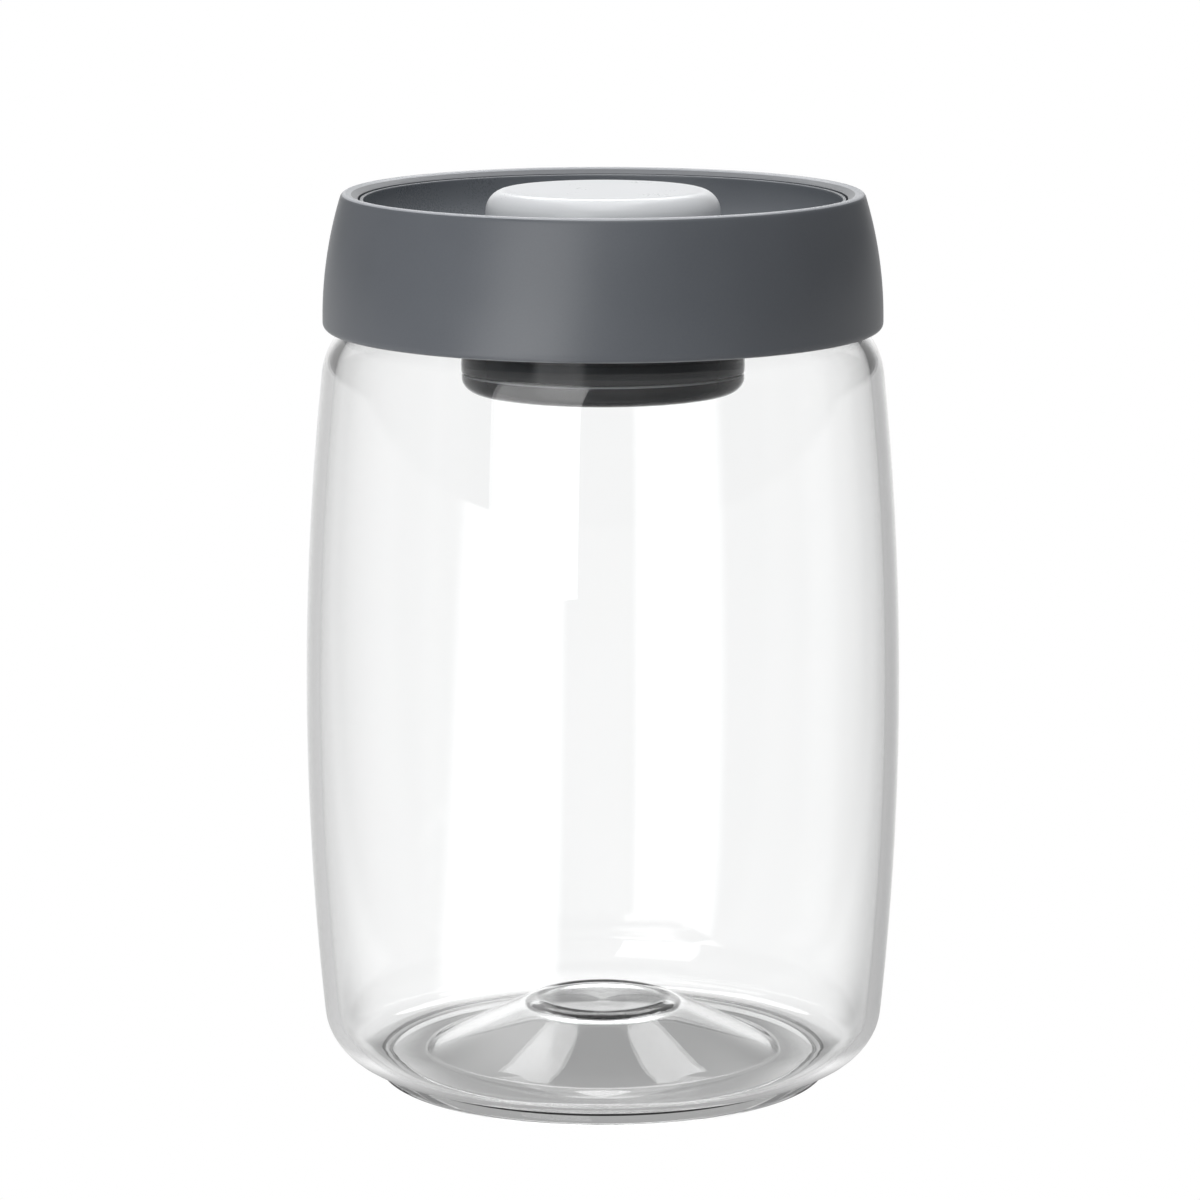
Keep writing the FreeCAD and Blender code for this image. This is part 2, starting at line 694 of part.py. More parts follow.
piston_seal = turned("piston_seal", [
    at("piston_radius - seal_groove_depth + seal_room", "0"),
    at("cylinder_bore - running_gap", "0"),
    at("cylinder_bore - running_gap", "seal_band"),
    at("cylinder_bore - running_gap - seal_relief", "seal_groove_height - 2 * seal_room"),
    at("piston_radius - seal_groove_depth + seal_room", "seal_groove_height - 2 * seal_room"),
], z="piston_base + seal_groove_low + seal_room")

push_button = turned("push_button", [
    at("button_bore", "0"),
    at("button_radius", "0"),
    at("button_radius", "button_height", "button_round"),
    at("0", "button_height"),
    at("0", "button_height - button_top"),
    at("button_bore", "button_height - button_top", "button_inner_round"),
], z="piston_top")
ring_of(push_button, "Pad", "screw_post", round_mark, ("post_circle", "post_radius"),
        "0", "button_height - button_top / 2", post_count)
ring_of(push_button, "Pocket", "post_pilot", round_mark, ("post_circle", "screw_pilot_radius"),
        "-cut_overrun", "pilot_depth + cut_overrun", post_count)
ring_of(push_button, "Pocket", "key_way", block_mark,
        ("button_radius - key_depth - key_room", "button_radius + cut_overrun",
         "key_width + 2 * key_room"),
        "-cut_overrun",
        "hub_base + key_height + button_stroke + key_room - piston_top + cut_overrun", key_count)


# Separate screws on a circle, each a head and a shank, pointing down or up from the head's seat
def screw_ring(name, circle, count, seat, head_height, points_down):
    screws = []
    for i in range(count):
        turn = f"{full_turn * i / count}"
        head = part("Cylinder", f"{name}_head_{i}", Radius="screw_head_radius", Height=head_height)
        shank = part("Cylinder", f"{name}_shank_{i}", Radius="screw_shank_radius",
                     Height="screw_length")
        head_base = seat if points_down else f"{seat} - {head_height}"
        shank_base = f"{seat} - screw_length" if points_down else seat
        for rod, base in ((head, head_base), (shank, shank_base)):
            put(rod, f"{circle} * cos({turn})", f"{circle} * sin({turn})", base)
        screw = part("Fuse", f"{name}_{i}")
        screw.Base, screw.Tool = head, shank
        screws.append(screw)
    group = part("Compound", name)
    group.Links = screws
    return group


cylinder_screws = screw_ring("cylinder_screws", "screw_circle", cylinder_screw_count,
                             "cylinder_flange_top", "screw_head_height", True)
piston_screws = screw_ring("piston_screws", "post_circle", post_count,
                           "crown_base + sunk_head_height + sunk_room", "sunk_head_height", False)


# Turn ring: a hub round the button, keys into the button's keyways, and an arm whose ramp has an
# open slot for the valve stem and climbs by the valve's lift over the ring's turn
arm_start = valve_azimuth - sizes["turn_angle"] - sizes["arm_margin"]
slot_start = valve_azimuth - sizes["turn_angle"] - sizes["slot_margin"]
arm_sweep = "turn_angle + 2 * arm_margin"
hub = tube("hub", "hub_bore", "hub_radius", "hub_base", "hub_top - hub_base")
arm = tube("arm", "hub_radius - hub_wall / 2", "arm_radius", "arm_base", "arm_thickness",
           arm_start, arm_sweep)
ramp_band = tube("ramp_band", "arm_radius - ramp_width", "arm_radius", "arm_base",
                 "ramp_middle + 2 * valve_lift - arm_base", arm_start, arm_sweep)
ramp_block = part("Wedge", "ramp_block", Xmin="0", Xmax="arm_radius", X2min="0", X2max="arm_radius",
                  Ymin="-ramp_half", Ymax="ramp_half", Zmin="arm_base", Z2min="arm_base",
                  Zmax="ramp_middle + ramp_swing", Z2max="ramp_middle - ramp_swing")
ramp_block.Placement.Rotation = FreeCAD.Rotation(FreeCAD.Vector(0, 0, 1),
                                                 valve_azimuth - sizes["turn_angle"] / 2)
ramp = part("Common", "ramp")
ramp.Base, ramp.Tool = ramp_band, ramp_block
keys = []
for i in range(key_count):
    key = part("Box", f"key_{i}", Length="key_depth + button_gap + hub_wall / 2", Width="key_width",
               Height="key_height")
    turn = f"{full_turn * i / key_count}"
    key.Placement.Rotation = FreeCAD.Rotation(FreeCAD.Vector(0, 0, 1), full_turn * i / key_count)
    reach = "(button_radius - key_depth)"
    put(key, f"{reach} * cos({turn}) + key_width / 2 * sin({turn})",
        f"{reach} * sin({turn}) - key_width / 2 * cos({turn})", "hub_base")
    keys.append(key)
ring_blank = part("MultiFuse", "ring_blank")
ring_blank.Shapes = [hub, arm, ramp, *keys]
stem_slot = tube("stem_slot", "valve_circle - pin_radius - slot_gap", "valve_circle + pin_radius + slot_gap",
                 "arm_base - cut_overrun", "ramp_middle + 2 * valve_lift - arm_base + cut_overrun",
                 slot_start, "turn_angle + slot_margin + 2 * arm_margin")
turn_ring = part("Cut", "turn_ring")
turn_ring.Base, turn_ring.Tool = ring_blank, stem_slot

release_valve = turned("release_valve", [
    at("0", "0"),
    at("pin_radius", "0"),
    at("pin_radius", "disc_base - pin_base"),
    at("disc_radius", "disc_base - pin_base"),
    at("disc_radius", "disc_top - pin_base"),
    at("pin_radius", "disc_top - pin_base"),
    at("pin_radius", "head_base - pin_base"),
    at("head_radius", "head_base - pin_base"),
    at("head_radius", "head_base - pin_base + head_thickness"),
    at("0", "head_base - pin_base + head_thickness"),
], y="valve_circle", z="pin_base")

release_valve_seal = turned("release_valve_seal", [
    at("pin_radius + valve_hole_gap", "0"),
    at("disc_radius + washer_margin", "0"),
    at("disc_radius + washer_margin", "washer_thickness"),
    at("pin_radius + valve_hole_gap", "washer_thickness"),
], y="valve_circle", z="floor_top + seat_gap")


# Return spring: a conical coil with a flat spiral turn at each end, so that its turns nest when pressed
def spring_points():
    wire = value("spring_wire_radius")
    wide = value("piston_recess_radius - spring_edge_gap - spring_wire_radius")
    step = value("spring_turn_step")
    low = value("chamber_floor + spring_end_gap + spring_wire_radius")
    high = value("crown_base - spring_end_gap - spring_wire_radius")
    count = spring_turns * spans_per_turn
    active = spring_turns - 2 * spring_flat_turns

    def point(i):
        turns = i / spans_per_turn
        climb = min(max((turns - spring_flat_turns) / active, 0), 1)
        radius = wide - step * turns
        angle = 2 * math.pi * turns
        return FreeCAD.Vector(radius * math.cos(angle), radius * math.sin(angle), low + (high - low) * climb)

    points = [point(i) for i in range(count + 1)]
    nudge = 1 / spans_per_turn
    tangents = [(point(i + nudge) - point(i - nudge)).normalize() for i in range(count + 1)]
    return points, tangents, wire


# Two arcs that join two points with given directions
def biarc(start, start_way, end, end_way):
    chord = end - start
    ways = start_way + end_way
    spread = 2 * (1 - start_way.dot(end_way))
    reach = (-chord.dot(ways) + math.sqrt(chord.dot(ways) ** 2 + spread * chord.dot(chord))) / spread
    first_control = start + start_way * reach
    last_control = end - end_way * reach
    joint = (first_control + last_control) / 2
    return [bent(start, first_control, joint), bent(joint, last_control, end)]


# The arc whose end tangents meet at a control point
def bent(start, control, end):
    chord_middle = (start + end) / 2
    rise = (control - chord_middle).Length
    half = (end - start).Length / 2
    radius = half * (control - start).Length / rise
    bulge = radius - math.sqrt(max(radius ** 2 - half ** 2, 0))
    return Part.Arc(start, chord_middle + (control - chord_middle) * (bulge / rise), end).toShape()


points, tangents, wire_radius = spring_points()
spring_edges = []
for i in range(len(points) - 1):
    spring_edges += biarc(points[i], tangents[i], points[i + 1], tangents[i + 1])
section = Part.Wire(Part.Circle(points[0], tangents[0], wire_radius).toShape())
return_spring = doc.addObject("Part::Feature", "return_spring")
return_spring.Shape = Part.Wire(spring_edges).makePipeShell([section], True, False)
return_spring.Placement = FreeCAD.Placement()
samples_per_edge = 6
marks = [mark for edge in spring_edges for mark in edge.discretize(samples_per_edge)[1:]]
skip = samples_per_edge * spans_per_turn
least_gap = min((a - b).Length for i, a in enumerate(marks) for b in marks[i + skip:]) - 2 * wire_radius
print(f"return_spring: least gap between turns {least_gap:.2f} mm")

nodes = [
    jar, lid_cover, lid_tray, inner_lid, mouth_gasket, pump_cylinder, cylinder_seal, cylinder_screws,
    pump_end_cap, end_cap_seal, inlet_valve, return_spring, push_button, piston, piston_seal,
    exhaust_valve, piston_screws, turn_ring, release_valve, release_valve_seal,
]
doc.recompute()
for item in doc.Objects:
    if "Invalid" in item.State or "Error" in item.State:
        raise RuntimeError(f"{item.Name} is {item.State}")
for node in nodes:
    if node.Shape.isNull() or not node.Shape.isValid() or not node.Shape.Solids:
        raise RuntimeError(f"{node.Label} has no valid solid")

os.makedirs("parts", exist_ok=True)
for node in nodes:
    node.Shape.exportStep(f"parts/{node.Label}.step")
    print(f"{node.Label}: {len(node.Shape.Solids)} solid, {node.Shape.Volume:.1f} mm3")
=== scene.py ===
import bmesh
import bpy
import json
import math
import numpy as np
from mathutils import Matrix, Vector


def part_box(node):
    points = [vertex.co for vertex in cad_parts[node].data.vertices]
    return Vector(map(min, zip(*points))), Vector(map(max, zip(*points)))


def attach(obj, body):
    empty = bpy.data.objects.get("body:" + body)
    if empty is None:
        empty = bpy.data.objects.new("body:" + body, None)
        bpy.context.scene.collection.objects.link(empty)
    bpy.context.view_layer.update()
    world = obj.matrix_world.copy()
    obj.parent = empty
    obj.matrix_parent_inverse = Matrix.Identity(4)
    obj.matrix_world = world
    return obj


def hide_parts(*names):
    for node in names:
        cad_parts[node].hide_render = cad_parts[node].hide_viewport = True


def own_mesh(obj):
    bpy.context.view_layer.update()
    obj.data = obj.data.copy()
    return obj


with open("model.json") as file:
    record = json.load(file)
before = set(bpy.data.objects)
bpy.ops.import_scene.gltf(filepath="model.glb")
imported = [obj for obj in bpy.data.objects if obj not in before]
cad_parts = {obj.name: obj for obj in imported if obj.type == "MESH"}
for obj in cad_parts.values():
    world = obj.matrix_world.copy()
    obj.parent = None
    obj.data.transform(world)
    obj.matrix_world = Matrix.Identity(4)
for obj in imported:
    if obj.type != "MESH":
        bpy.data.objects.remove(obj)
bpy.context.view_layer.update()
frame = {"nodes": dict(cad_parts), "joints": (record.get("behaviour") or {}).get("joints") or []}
mm = 0.001
fullTurn = 2 * math.pi
tiny = 1e-6  # keeps divisions and comparisons off zero
weldGap = 1e-7  # points nearer than this are one, in metres
shortEdge = 1e-8  # edges below this are dropped, in metres
print("frame loaded:", len(frame["nodes"]), "nodes")


# Sizes read from the frame, in millimetres: how far a node reaches from the axis, its foot and its top
def reach(node):
    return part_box(node)[1].x / mm


def foot(node):
    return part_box(node)[0].z / mm


def top(node):
    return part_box(node)[1].z / mm


# Outlines

def unit(rows):
    return rows / np.maximum(np.linalg.norm(rows, axis=1, keepdims=True), tiny)


# Evenly spread turns round the axis
def angles(count):
    return np.linspace(0, fullTurn, count, endpoint=False)


# Points on the circle of a given middle from one point to another, turning left where side is 1
def arcRun(middle, start, end, side, grain, leastSteps=8):
    first = math.atan2(start[1] - middle[1], start[0] - middle[0])
    last = math.atan2(end[1] - middle[1], end[0] - middle[0])
    sweep = (last - first) * side % fullTurn * side
    radius = math.hypot(start[0] - middle[0], start[1] - middle[1])
    steps = max(leastSteps, math.ceil(abs(sweep) * radius / grain))
    turn = first + sweep * np.linspace(0, 1, steps + 1)
    return np.column_stack([middle[0] + radius * np.cos(turn), middle[1] + radius * np.sin(turn)])


# An outline from corners (radius, height, rounding, bow): a rounding replaces its corner by an arc,
# and a bow is the radius of the arc that leads to the next corner, left of the way if positive
def contour(corners, grain):
    table = np.array([tuple(corner) + (0.0,) * (4 - len(corner)) for corner in corners], float)
    spots, rounds, bows = table[:, :2], table[:, 2:3], table[:, 3]
    back = unit(np.roll(spots, 1, axis=0) - spots)
    ahead = unit(np.roll(spots, -1, axis=0) - spots)
    half = np.arccos(np.clip((back * ahead).sum(axis=1, keepdims=True), -1, 1)) / 2
    half = np.maximum(half, tiny)
    arrive = spots + back * rounds / np.tan(half)
    leave = spots + ahead * rounds / np.tan(half)
    middle = spots + unit(back + ahead) * rounds / np.sin(half)
    bend = np.sign(ahead[:, 1] * -back[:, 0] + ahead[:, 0] * back[:, 1])
    closed = spots[0, 0] > 0  # an outline that starts on the axis also ends there
    runs = []
    for i in range(len(corners)):
        if rounds[i, 0] > 0:
            runs.append(arcRun(middle[i], arrive[i], leave[i], bend[i], grain))
        if i == len(corners) - 1 and not closed:
            break
        start, end = leave[i], arrive[(i + 1) % len(corners)]
        if bows[i]:
            chord = (end - start) / 2
            side = np.sign(bows[i])
            rise = math.sqrt(max(bows[i] ** 2 - chord @ chord, 0)) * side
            hub = start + chord + np.array([-chord[1], chord[0]]) / np.linalg.norm(chord) * rise
            runs.append(arcRun(hub, start, end, side, grain))
        else:
            steps = max(1, math.ceil(np.linalg.norm(end - start) / grain))
            share = np.linspace(0, 1, steps + 1)[:, None]
            runs.append(start + (end - start) * share)
    points = np.concatenate(runs + ([runs[0][:1]] if closed else []))
    keep = np.append(True, np.linalg.norm(np.diff(points, axis=0), axis=1) > tiny)
    return points[keep]


# Quads of a grid of rows and columns, the rows joined round
def gridQuads(rows, columns):
    index = np.arange(rows * columns).reshape(rows, columns)
    beside = np.roll(index, -1, axis=0)
    corners = (index[:, :-1], beside[:, :-1], beside[:, 1:], index[:, 1:])
    return np.stack([corner.ravel() for corner in corners], axis=1)


# Surface of revolution: point(turn, s) = (r(s) cos turn, r(s) sin turn, z(s)), moved to a place
def turned(outline, turns, place=(0, 0, 0)):
    radius, height, turn = outline[None, :, 0], outline[None, :, 1], turns[:, None]
    points = np.stack([radius * np.cos(turn), radius * np.sin(turn), height + 0 * turn], axis=-1)
    return points.reshape(-1, 3) + np.array(place), gridQuads(len(turns), len(outline))


# A round wire along a path: point(turn, i) = path(i) + wire (cos turn * side(i) + sin turn * over(i))
def wireAlong(path, wire, sides):
    along = unit(np.gradient(path, axis=0))
    side = unit(np.cross(along, [0.0, 0.0, 1.0]))
    over = np.cross(side, along)
    turn = angles(sides)[:, None, None]
    points = path[None] + wire * (np.cos(turn) * side[None] + np.sin(turn) * over[None])
    ends = [np.repeat(path[None, [k]], sides, axis=0) for k in (0, -1)]
    points = np.concatenate([ends[0], points, ends[1]], axis=1)
    return points.reshape(-1, 3), gridQuads(sides, points.shape[1])


# Objects

def addObject(name, data):
    holder = bpy.data.objects.new(name, data)
    bpy.context.scene.collection.objects.link(holder)
    return holder


# Puts islands of points and quads into one object that rides on a body and stands for a CAD node
def makePiece(name, islands, body, node, material, sharpAngle=40):
    starts = np.cumsum([0] + [len(points) for points, quads in islands])
    points = np.concatenate([points for points, quads in islands]) * mm
    quads = np.concatenate([quads + start for (_, quads), start in zip(islands, starts)])
    mesh = bpy.data.meshes.new(name)
    mesh.from_pydata(points, [], quads)
    return finishPiece(name, mesh, body, node, material, sharpAngle)


# Rounds the edge of a mesh that runs round the axis at a radius and level
def roundRim(mesh, radius, level, width, steps=4, near=0.02):
    work = bmesh.new()
    work.from_mesh(mesh)
    bmesh.ops.remove_doubles(work, verts=work.verts, dist=weldGap)
    work.to_mesh(mesh)
    spots, ends = np.empty(3 * len(mesh.vertices)), np.empty(2 * len(mesh.edges), int)
    mesh.vertices.foreach_get("co", spots)
    mesh.edges.foreach_get("vertices", ends)
    across, height = np.hypot(spots[0::3], spots[1::3]) / mm, spots[2::3] / mm
    onRim = (np.abs(across - radius) < near) & (np.abs(height - level) < near)
    work.edges.ensure_lookup_table()
    rim = [work.edges[index] for index in np.flatnonzero(onRim[ends[0::2]] & onRim[ends[1::2]])]
    bmesh.ops.bevel(work, geom=rim, offset=width * mm, offset_type="OFFSET", segments=steps,
                    profile=0.5, affect="EDGES")  # this profile is a circle's
    work.to_mesh(mesh)
    work.free()


# A smooth-shaded copy of a CAD node whose shape is already right
def smoothCopy(name, body, node, material, rim=None, sharpAngle=32):
    mesh = frame["nodes"][node].data.copy()
    mesh.materials.clear()
    if rim:
        roundRim(mesh, *rim)
    piece = finishPiece(name, mesh, body, node, material, sharpAngle)
    piece.modifiers.new("evenShading", "WEIGHTED_NORMAL").keep_sharp = True
    return piece


def finishPiece(name, mesh, body, node, material, sharpAngle):
    work = bmesh.new()
    work.from_mesh(mesh)
    bmesh.ops.remove_doubles(work, verts=work.verts, dist=weldGap)
    bmesh.ops.dissolve_degenerate(work, edges=work.edges, dist=shortEdge)
    bmesh.ops.recalc_face_normals(work, faces=work.faces)
    work.to_mesh(mesh)
    work.free()
    mesh.polygons.foreach_set("use_smooth", np.ones(len(mesh.polygons), bool))
    mesh.set_sharp_from_angle(angle=math.radians(sharpAngle))
    mesh.materials.append(material)
    mesh.update()
    piece = addObject(name, mesh)
    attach(piece, body)
    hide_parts(node)
    return piece


# Shader nodes

# An input that is given a socket is linked to it, any other gets its value
def setInputs(tree, node, inputs):
    for socket, value in inputs.items():
        if isinstance(value, bpy.types.NodeSocket):
            tree.links.new(value, node.inputs[socket])
        else:
            node.inputs[socket].default_value = value


def addNode(tree, kind, inputs=None, **settings):
    node = tree.nodes.new(kind)
    for name, value in settings.items():
        setattr(node, name, value)
    setInputs(tree, node, inputs or {})
    return node


def maths(tree, operation, *values):
    return addNode(tree, "ShaderNodeMath", dict(enumerate(values)), operation=operation).outputs[0]


# Change from one value to another while the given value crosses a span
def blend(tree, value, span, first, last, curve="SMOOTHSTEP"):
    return addNode(tree, "ShaderNodeMapRange", {
        "Value": value, "From Min": span[0], "From Max": span[1], "To Min": first, "To Max": last},
        interpolation_type=curve).outputs["Result"]


# A Mix node's two inputs and its output go by number, because their names repeat
mixSockets = {"FLOAT": (2, 3, 0), "RGBA": (6, 7, 2)}


def mixed(tree, factor, first, last, kind="FLOAT"):
    here, there, result = mixSockets[kind]
    return addNode(tree, "ShaderNodeMix", {"Factor": factor, here: first, there: last},
                   data_type=kind).outputs[result]


# Materials

grainForm = {
    "grainDetail": 3.0, "grainRoughness": 0.6, "grainShare": 0.35,
    "driftDetail": 2.0, "driftRoughness": 0.5, "driftShare": 0.65,
    "toneSpan": (0.35, 0.65), "roughSpan": (0.3, 0.7),
}


# Fine grain of a moulded surface, with slow drifts of tone over it and a thin level line of another tone that
# paints a highlight
def grainGroup(form):
    tree = bpy.data.node_groups.new("mouldedGrain", "ShaderNodeTree")
    for name, kind in (("Coordinates", "Vector"), ("Grain Scale", "Float"), ("Drift Scale", "Float"),
                       ("Dark Tone", "Color"), ("Light Tone", "Color"), ("Least Roughness", "Float"),
                       ("Most Roughness", "Float"), ("Highlight Tone", "Color"), ("Line Level", "Float"),
                       ("Line Reach", "Float")):
        tree.interface.new_socket(name=name, in_out="INPUT", socket_type="NodeSocket" + kind)
    for name, kind in (("Tone", "Color"), ("Roughness", "Float"), ("Height", "Float")):
        tree.interface.new_socket(name=name, in_out="OUTPUT", socket_type="NodeSocket" + kind)
    given = addNode(tree, "NodeGroupInput").outputs
    grain = addNode(tree, "ShaderNodeTexNoise", {
        "Vector": given["Coordinates"], "Scale": given["Grain Scale"],
        "Detail": form["grainDetail"], "Roughness": form["grainRoughness"]}).outputs["Fac"]
    drift = addNode(tree, "ShaderNodeTexNoise", {
        "Vector": given["Coordinates"], "Scale": given["Drift Scale"],
        "Detail": form["driftDetail"], "Roughness": form["driftRoughness"]}).outputs["Fac"]
    fine = maths(tree, "MULTIPLY", grain, form["grainShare"])
    share = maths(tree, "MULTIPLY_ADD", drift, form["driftShare"], fine)
    spread = blend(tree, share, form["toneSpan"], 0.0, 1.0, "LINEAR")
    tone = mixed(tree, spread, given["Dark Tone"], given["Light Tone"], "RGBA")
    height = addNode(tree, "ShaderNodeSeparateXYZ", {"Vector": given["Coordinates"]}).outputs["Z"]
    # painted highlight: a band of another tone at a given height
    onHighlight = maths(tree, "COMPARE", height, given["Line Level"], given["Line Reach"])
    tone = mixed(tree, onHighlight, tone, given["Highlight Tone"], "RGBA")
    rough = blend(tree, share, form["roughSpan"], given["Least Roughness"], given["Most Roughness"], "LINEAR")
    addNode(tree, "NodeGroupOutput", {"Tone": tone, "Roughness": rough, "Height": grain})
    return tree


mouldedGrain = grainGroup(grainForm)


# A material whose tone, roughness and bump come from the moulded grain
def grainMaterial(name, look):
    material = bpy.data.materials.new(name)
    material.use_nodes = True
    tree = material.node_tree
    half = look.get("lineHeight", 0) / 2
    grain = addNode(tree, "ShaderNodeGroup", {
        "Coordinates": addNode(tree, "ShaderNodeTexCoord").outputs["Object"],
        "Grain Scale": look["grainScale"], "Drift Scale": look["driftScale"],
        "Dark Tone": (*look["darkTone"], 1), "Light Tone": (*look["lightTone"], 1),
        "Least Roughness": look["leastRoughness"], "Most Roughness": look["mostRoughness"],
        "Highlight Tone": (*look.get("highlightTone", look["lightTone"]), 1),
        "Line Level": (look.get("lineTop", half) - half) * mm, "Line Reach": half * mm,
    }, node_tree=mouldedGrain).outputs
    bump = addNode(tree, "ShaderNodeBump", {
        "Height": grain["Height"], "Strength": look["bumpStrength"], "Distance": look["bumpDepth"]})
    setInputs(tree, tree.nodes["Principled BSDF"], {
        "Base Color": grain["Tone"], "Roughness": grain["Roughness"], "Normal": bump.outputs["Normal"],
        **look.get("shader", {})})
    return material


greyLid = grainMaterial("greyLid", {
    "darkTone": (0.090, 0.098, 0.111), "lightTone": (0.101, 0.110, 0.124),
    "grainScale": 2600.0, "driftScale": 45.0, "leastRoughness": 0.31, "mostRoughness": 0.38,
    "bumpStrength": 0.12, "bumpDepth": 0.00004, "shader": {"Specular IOR Level": 0.55},
    "highlightTone": (0.33, 0.345, 0.37), "lineTop": top("lid_cover"), "lineHeight": 0.34,  # painted highlight along the crest
})
# painted light: the tray's grey is set lighter than the cover's to brighten the bowl's wall
litGreyTray = grainMaterial("litGreyTray", {
    "darkTone": (0.130, 0.142, 0.158), "lightTone": (0.146, 0.158, 0.175),
    "grainScale": 2600.0, "driftScale": 45.0, "leastRoughness": 0.26, "mostRoughness": 0.34,
    "bumpStrength": 0.08, "bumpDepth": 0.00004,
})
whiteButton = grainMaterial("whiteButton", {
    "darkTone": (0.69, 0.705, 0.725), "lightTone": (0.72, 0.735, 0.755),
    "grainScale": 1800.0, "driftScale": 60.0, "leastRoughness": 0.26, "mostRoughness": 0.34,
    "bumpStrength": 0.05, "bumpDepth": 0.00003,
})
darkPump = grainMaterial("darkPump", {
    "darkTone": (0.012, 0.013, 0.016), "lightTone": (0.017, 0.019, 0.022),
    "grainScale": 900.0, "driftScale": 70.0, "leastRoughness": 0.07, "mostRoughness": 0.13,
    "bumpStrength": 0.02, "bumpDepth": 0.00003, "shader": {"Specular IOR Level": 0.3},
    "highlightTone": (0.50, 0.51, 0.53), "lineTop": top("pump_end_cap"), "lineHeight": 0.4,  # painted highlight along the seam
})
innerPlastic = grainMaterial("innerPlastic", {
    "darkTone": (0.060, 0.063, 0.069), "lightTone": (0.072, 0.075, 0.082),
    "grainScale": 2200.0, "driftScale": 55.0, "leastRoughness": 0.42, "mostRoughness": 0.55,
    "bumpStrength": 0.15, "bumpDepth": 0.00004,
})
paleSilicone = grainMaterial("paleSilicone", {
    "darkTone": (0.62, 0.635, 0.63), "lightTone": (0.70, 0.71, 0.705),
    "grainScale": 1500.0, "driftScale": 90.0, "leastRoughness": 0.45, "mostRoughness": 0.6,
    "bumpStrength": 0.08, "bumpDepth": 0.00003,
    "shader": {"Subsurface Weight": 0.3, "Subsurface Scale": 0.002},
})
brightSteel = grainMaterial("brightSteel", {
    "darkTone": (0.50, 0.51, 0.53), "lightTone": (0.64, 0.65, 0.67),
    "grainScale": 2400.0, "driftScale": 260.0, "leastRoughness": 0.18, "mostRoughness": 0.32,
    "bumpStrength": 0.1, "bumpDepth": 0.00002,
    "shader": {"Metallic": 1.0},
})
clearGlass = grainMaterial("clearGlass", {
    "darkTone": (0.976, 0.979, 0.979), "lightTone": (0.988, 0.990, 0.990),
    "grainScale": 60.0, "driftScale": 12.0, "leastRoughness": 0.0, "mostRoughness": 0.004,
    "bumpStrength": 0.02, "bumpDepth": 0.0002,
    "shader": {"Transmission Weight": 1.0, "IOR": 1.5},
})
print("materials ready")


# Glass jar

jarForm = {
    "bellyHeight": 71.4, "barrelBow": 585.0, "barrelTop": 135.0, "wall": 2.6, "cornerRound": 10.2,
    "shoulderRound": 14.0, "neckInset": 8.8, "neckHollow": 4.0, "rimRound": 1.0,
    "footInset": 0.3, "footWidth": 1.7, "footHeight": 2.9, "footRound": 0.6, "footLean": 0.6,
    "puntRise": 11.6, "puntCrest": 13.0, "puntDimple": 1.2, "puntRound": 6.5, "puntFoot": 33.5,
    "puntSweep": 3.0, "floorLevel": 4.2, "grain": 1.3, "segments": 240,
}


# One wall line of the jar at a depth into the glass: barrel, shoulder and neck arcs, each shifted along
# its own radius so that the wall keeps its thickness, and a corner arc that ends level with the floor
def jarSkin(form, depth, level):
    belly, bow = reach("jar"), form["barrelBow"]
    axis = belly - bow
    cornerLevel = form["footHeight"] + form["cornerRound"]
    inside = bow - form["cornerRound"]
    run = math.sqrt(inside ** 2 - (form["bellyHeight"] - cornerLevel) ** 2)
    lean = (form["barrelTop"] - form["bellyHeight"]) / bow
    flat = math.sqrt(1 - lean ** 2)
    shoulder = (axis + (bow - form["shoulderRound"]) * flat,
                form["bellyHeight"] + (bow - form["shoulderRound"]) * lean)
    neck = belly - form["neckInset"]
    reachOver = form["shoulderRound"] + form["neckHollow"]
    hollowRun = neck + form["neckHollow"] - shoulder[0]
    hollowRise = math.sqrt(reachOver ** 2 - hollowRun ** 2)
    lowShare = (bow - depth) / inside
    highShare = (form["shoulderRound"] - depth) / reachOver
    fall = (form["bellyHeight"] - cornerLevel) / inside
    corner = (axis + run * lowShare, form["bellyHeight"] - fall * (bow - depth))
    bend = (corner[1] - level) / (1 - fall)
    return [
        (corner[0] - bend * run / inside, level, 0, bend),
        (*corner, 0, bow - depth),
        (axis + (bow - depth) * flat, form["bellyHeight"] + (bow - depth) * lean, 0,
         form["shoulderRound"] - depth),
        (shoulder[0] + hollowRun * highShare, shoulder[1] + hollowRise * highShare, 0,
         -(form["neckHollow"] + depth)),
        (neck - depth, shoulder[1] + hollowRise),
    ]


# The same corners walked from the other end, with each bow on the run that it belongs to
def walkedBack(corners):
    bows = [corner[3] if len(corner) > 3 else 0 for corner in corners]
    return [(*corner[:2], 0, -bow) for corner, bow in zip(corners[::-1], bows[-2::-1] + [0])]


# The floor: a level moat inside the foot ring, a straight flank up to the crest ring of the punt,
# and a shallow dimple in its top, the same on both faces
def jarOutline(form):
    wall, rise, dimple, base = form["wall"], form["puntRise"], form["puntDimple"], form["footHeight"]
    outer, inner = jarSkin(form, 0, base), jarSkin(form, wall, form["floorLevel"])
    ring = outer[0][0] - form["footInset"]
    neck, rim = reach("jar") - form["neckInset"], top("jar")
    bore = ring - form["footWidth"]
    moat = form["floorLevel"] - wall
    return [
        (0, rise - dimple),
        (form["puntCrest"], rise, form["puntRound"]),
        (form["puntFoot"], moat, form["puntSweep"]),
        (bore - form["footLean"], moat),
        (bore, 0, form["footRound"]),
        (ring, 0, form["footRound"]),
        (ring, base),
        *outer,
        (neck, rim, form["rimRound"]),
        (neck - wall, rim, form["rimRound"]),
        *walkedBack(inner),
        (form["puntFoot"], form["floorLevel"], form["puntSweep"]),
        (form["puntCrest"], rise + wall, form["puntRound"]),
        (0, rise - dimple + wall),
    ]


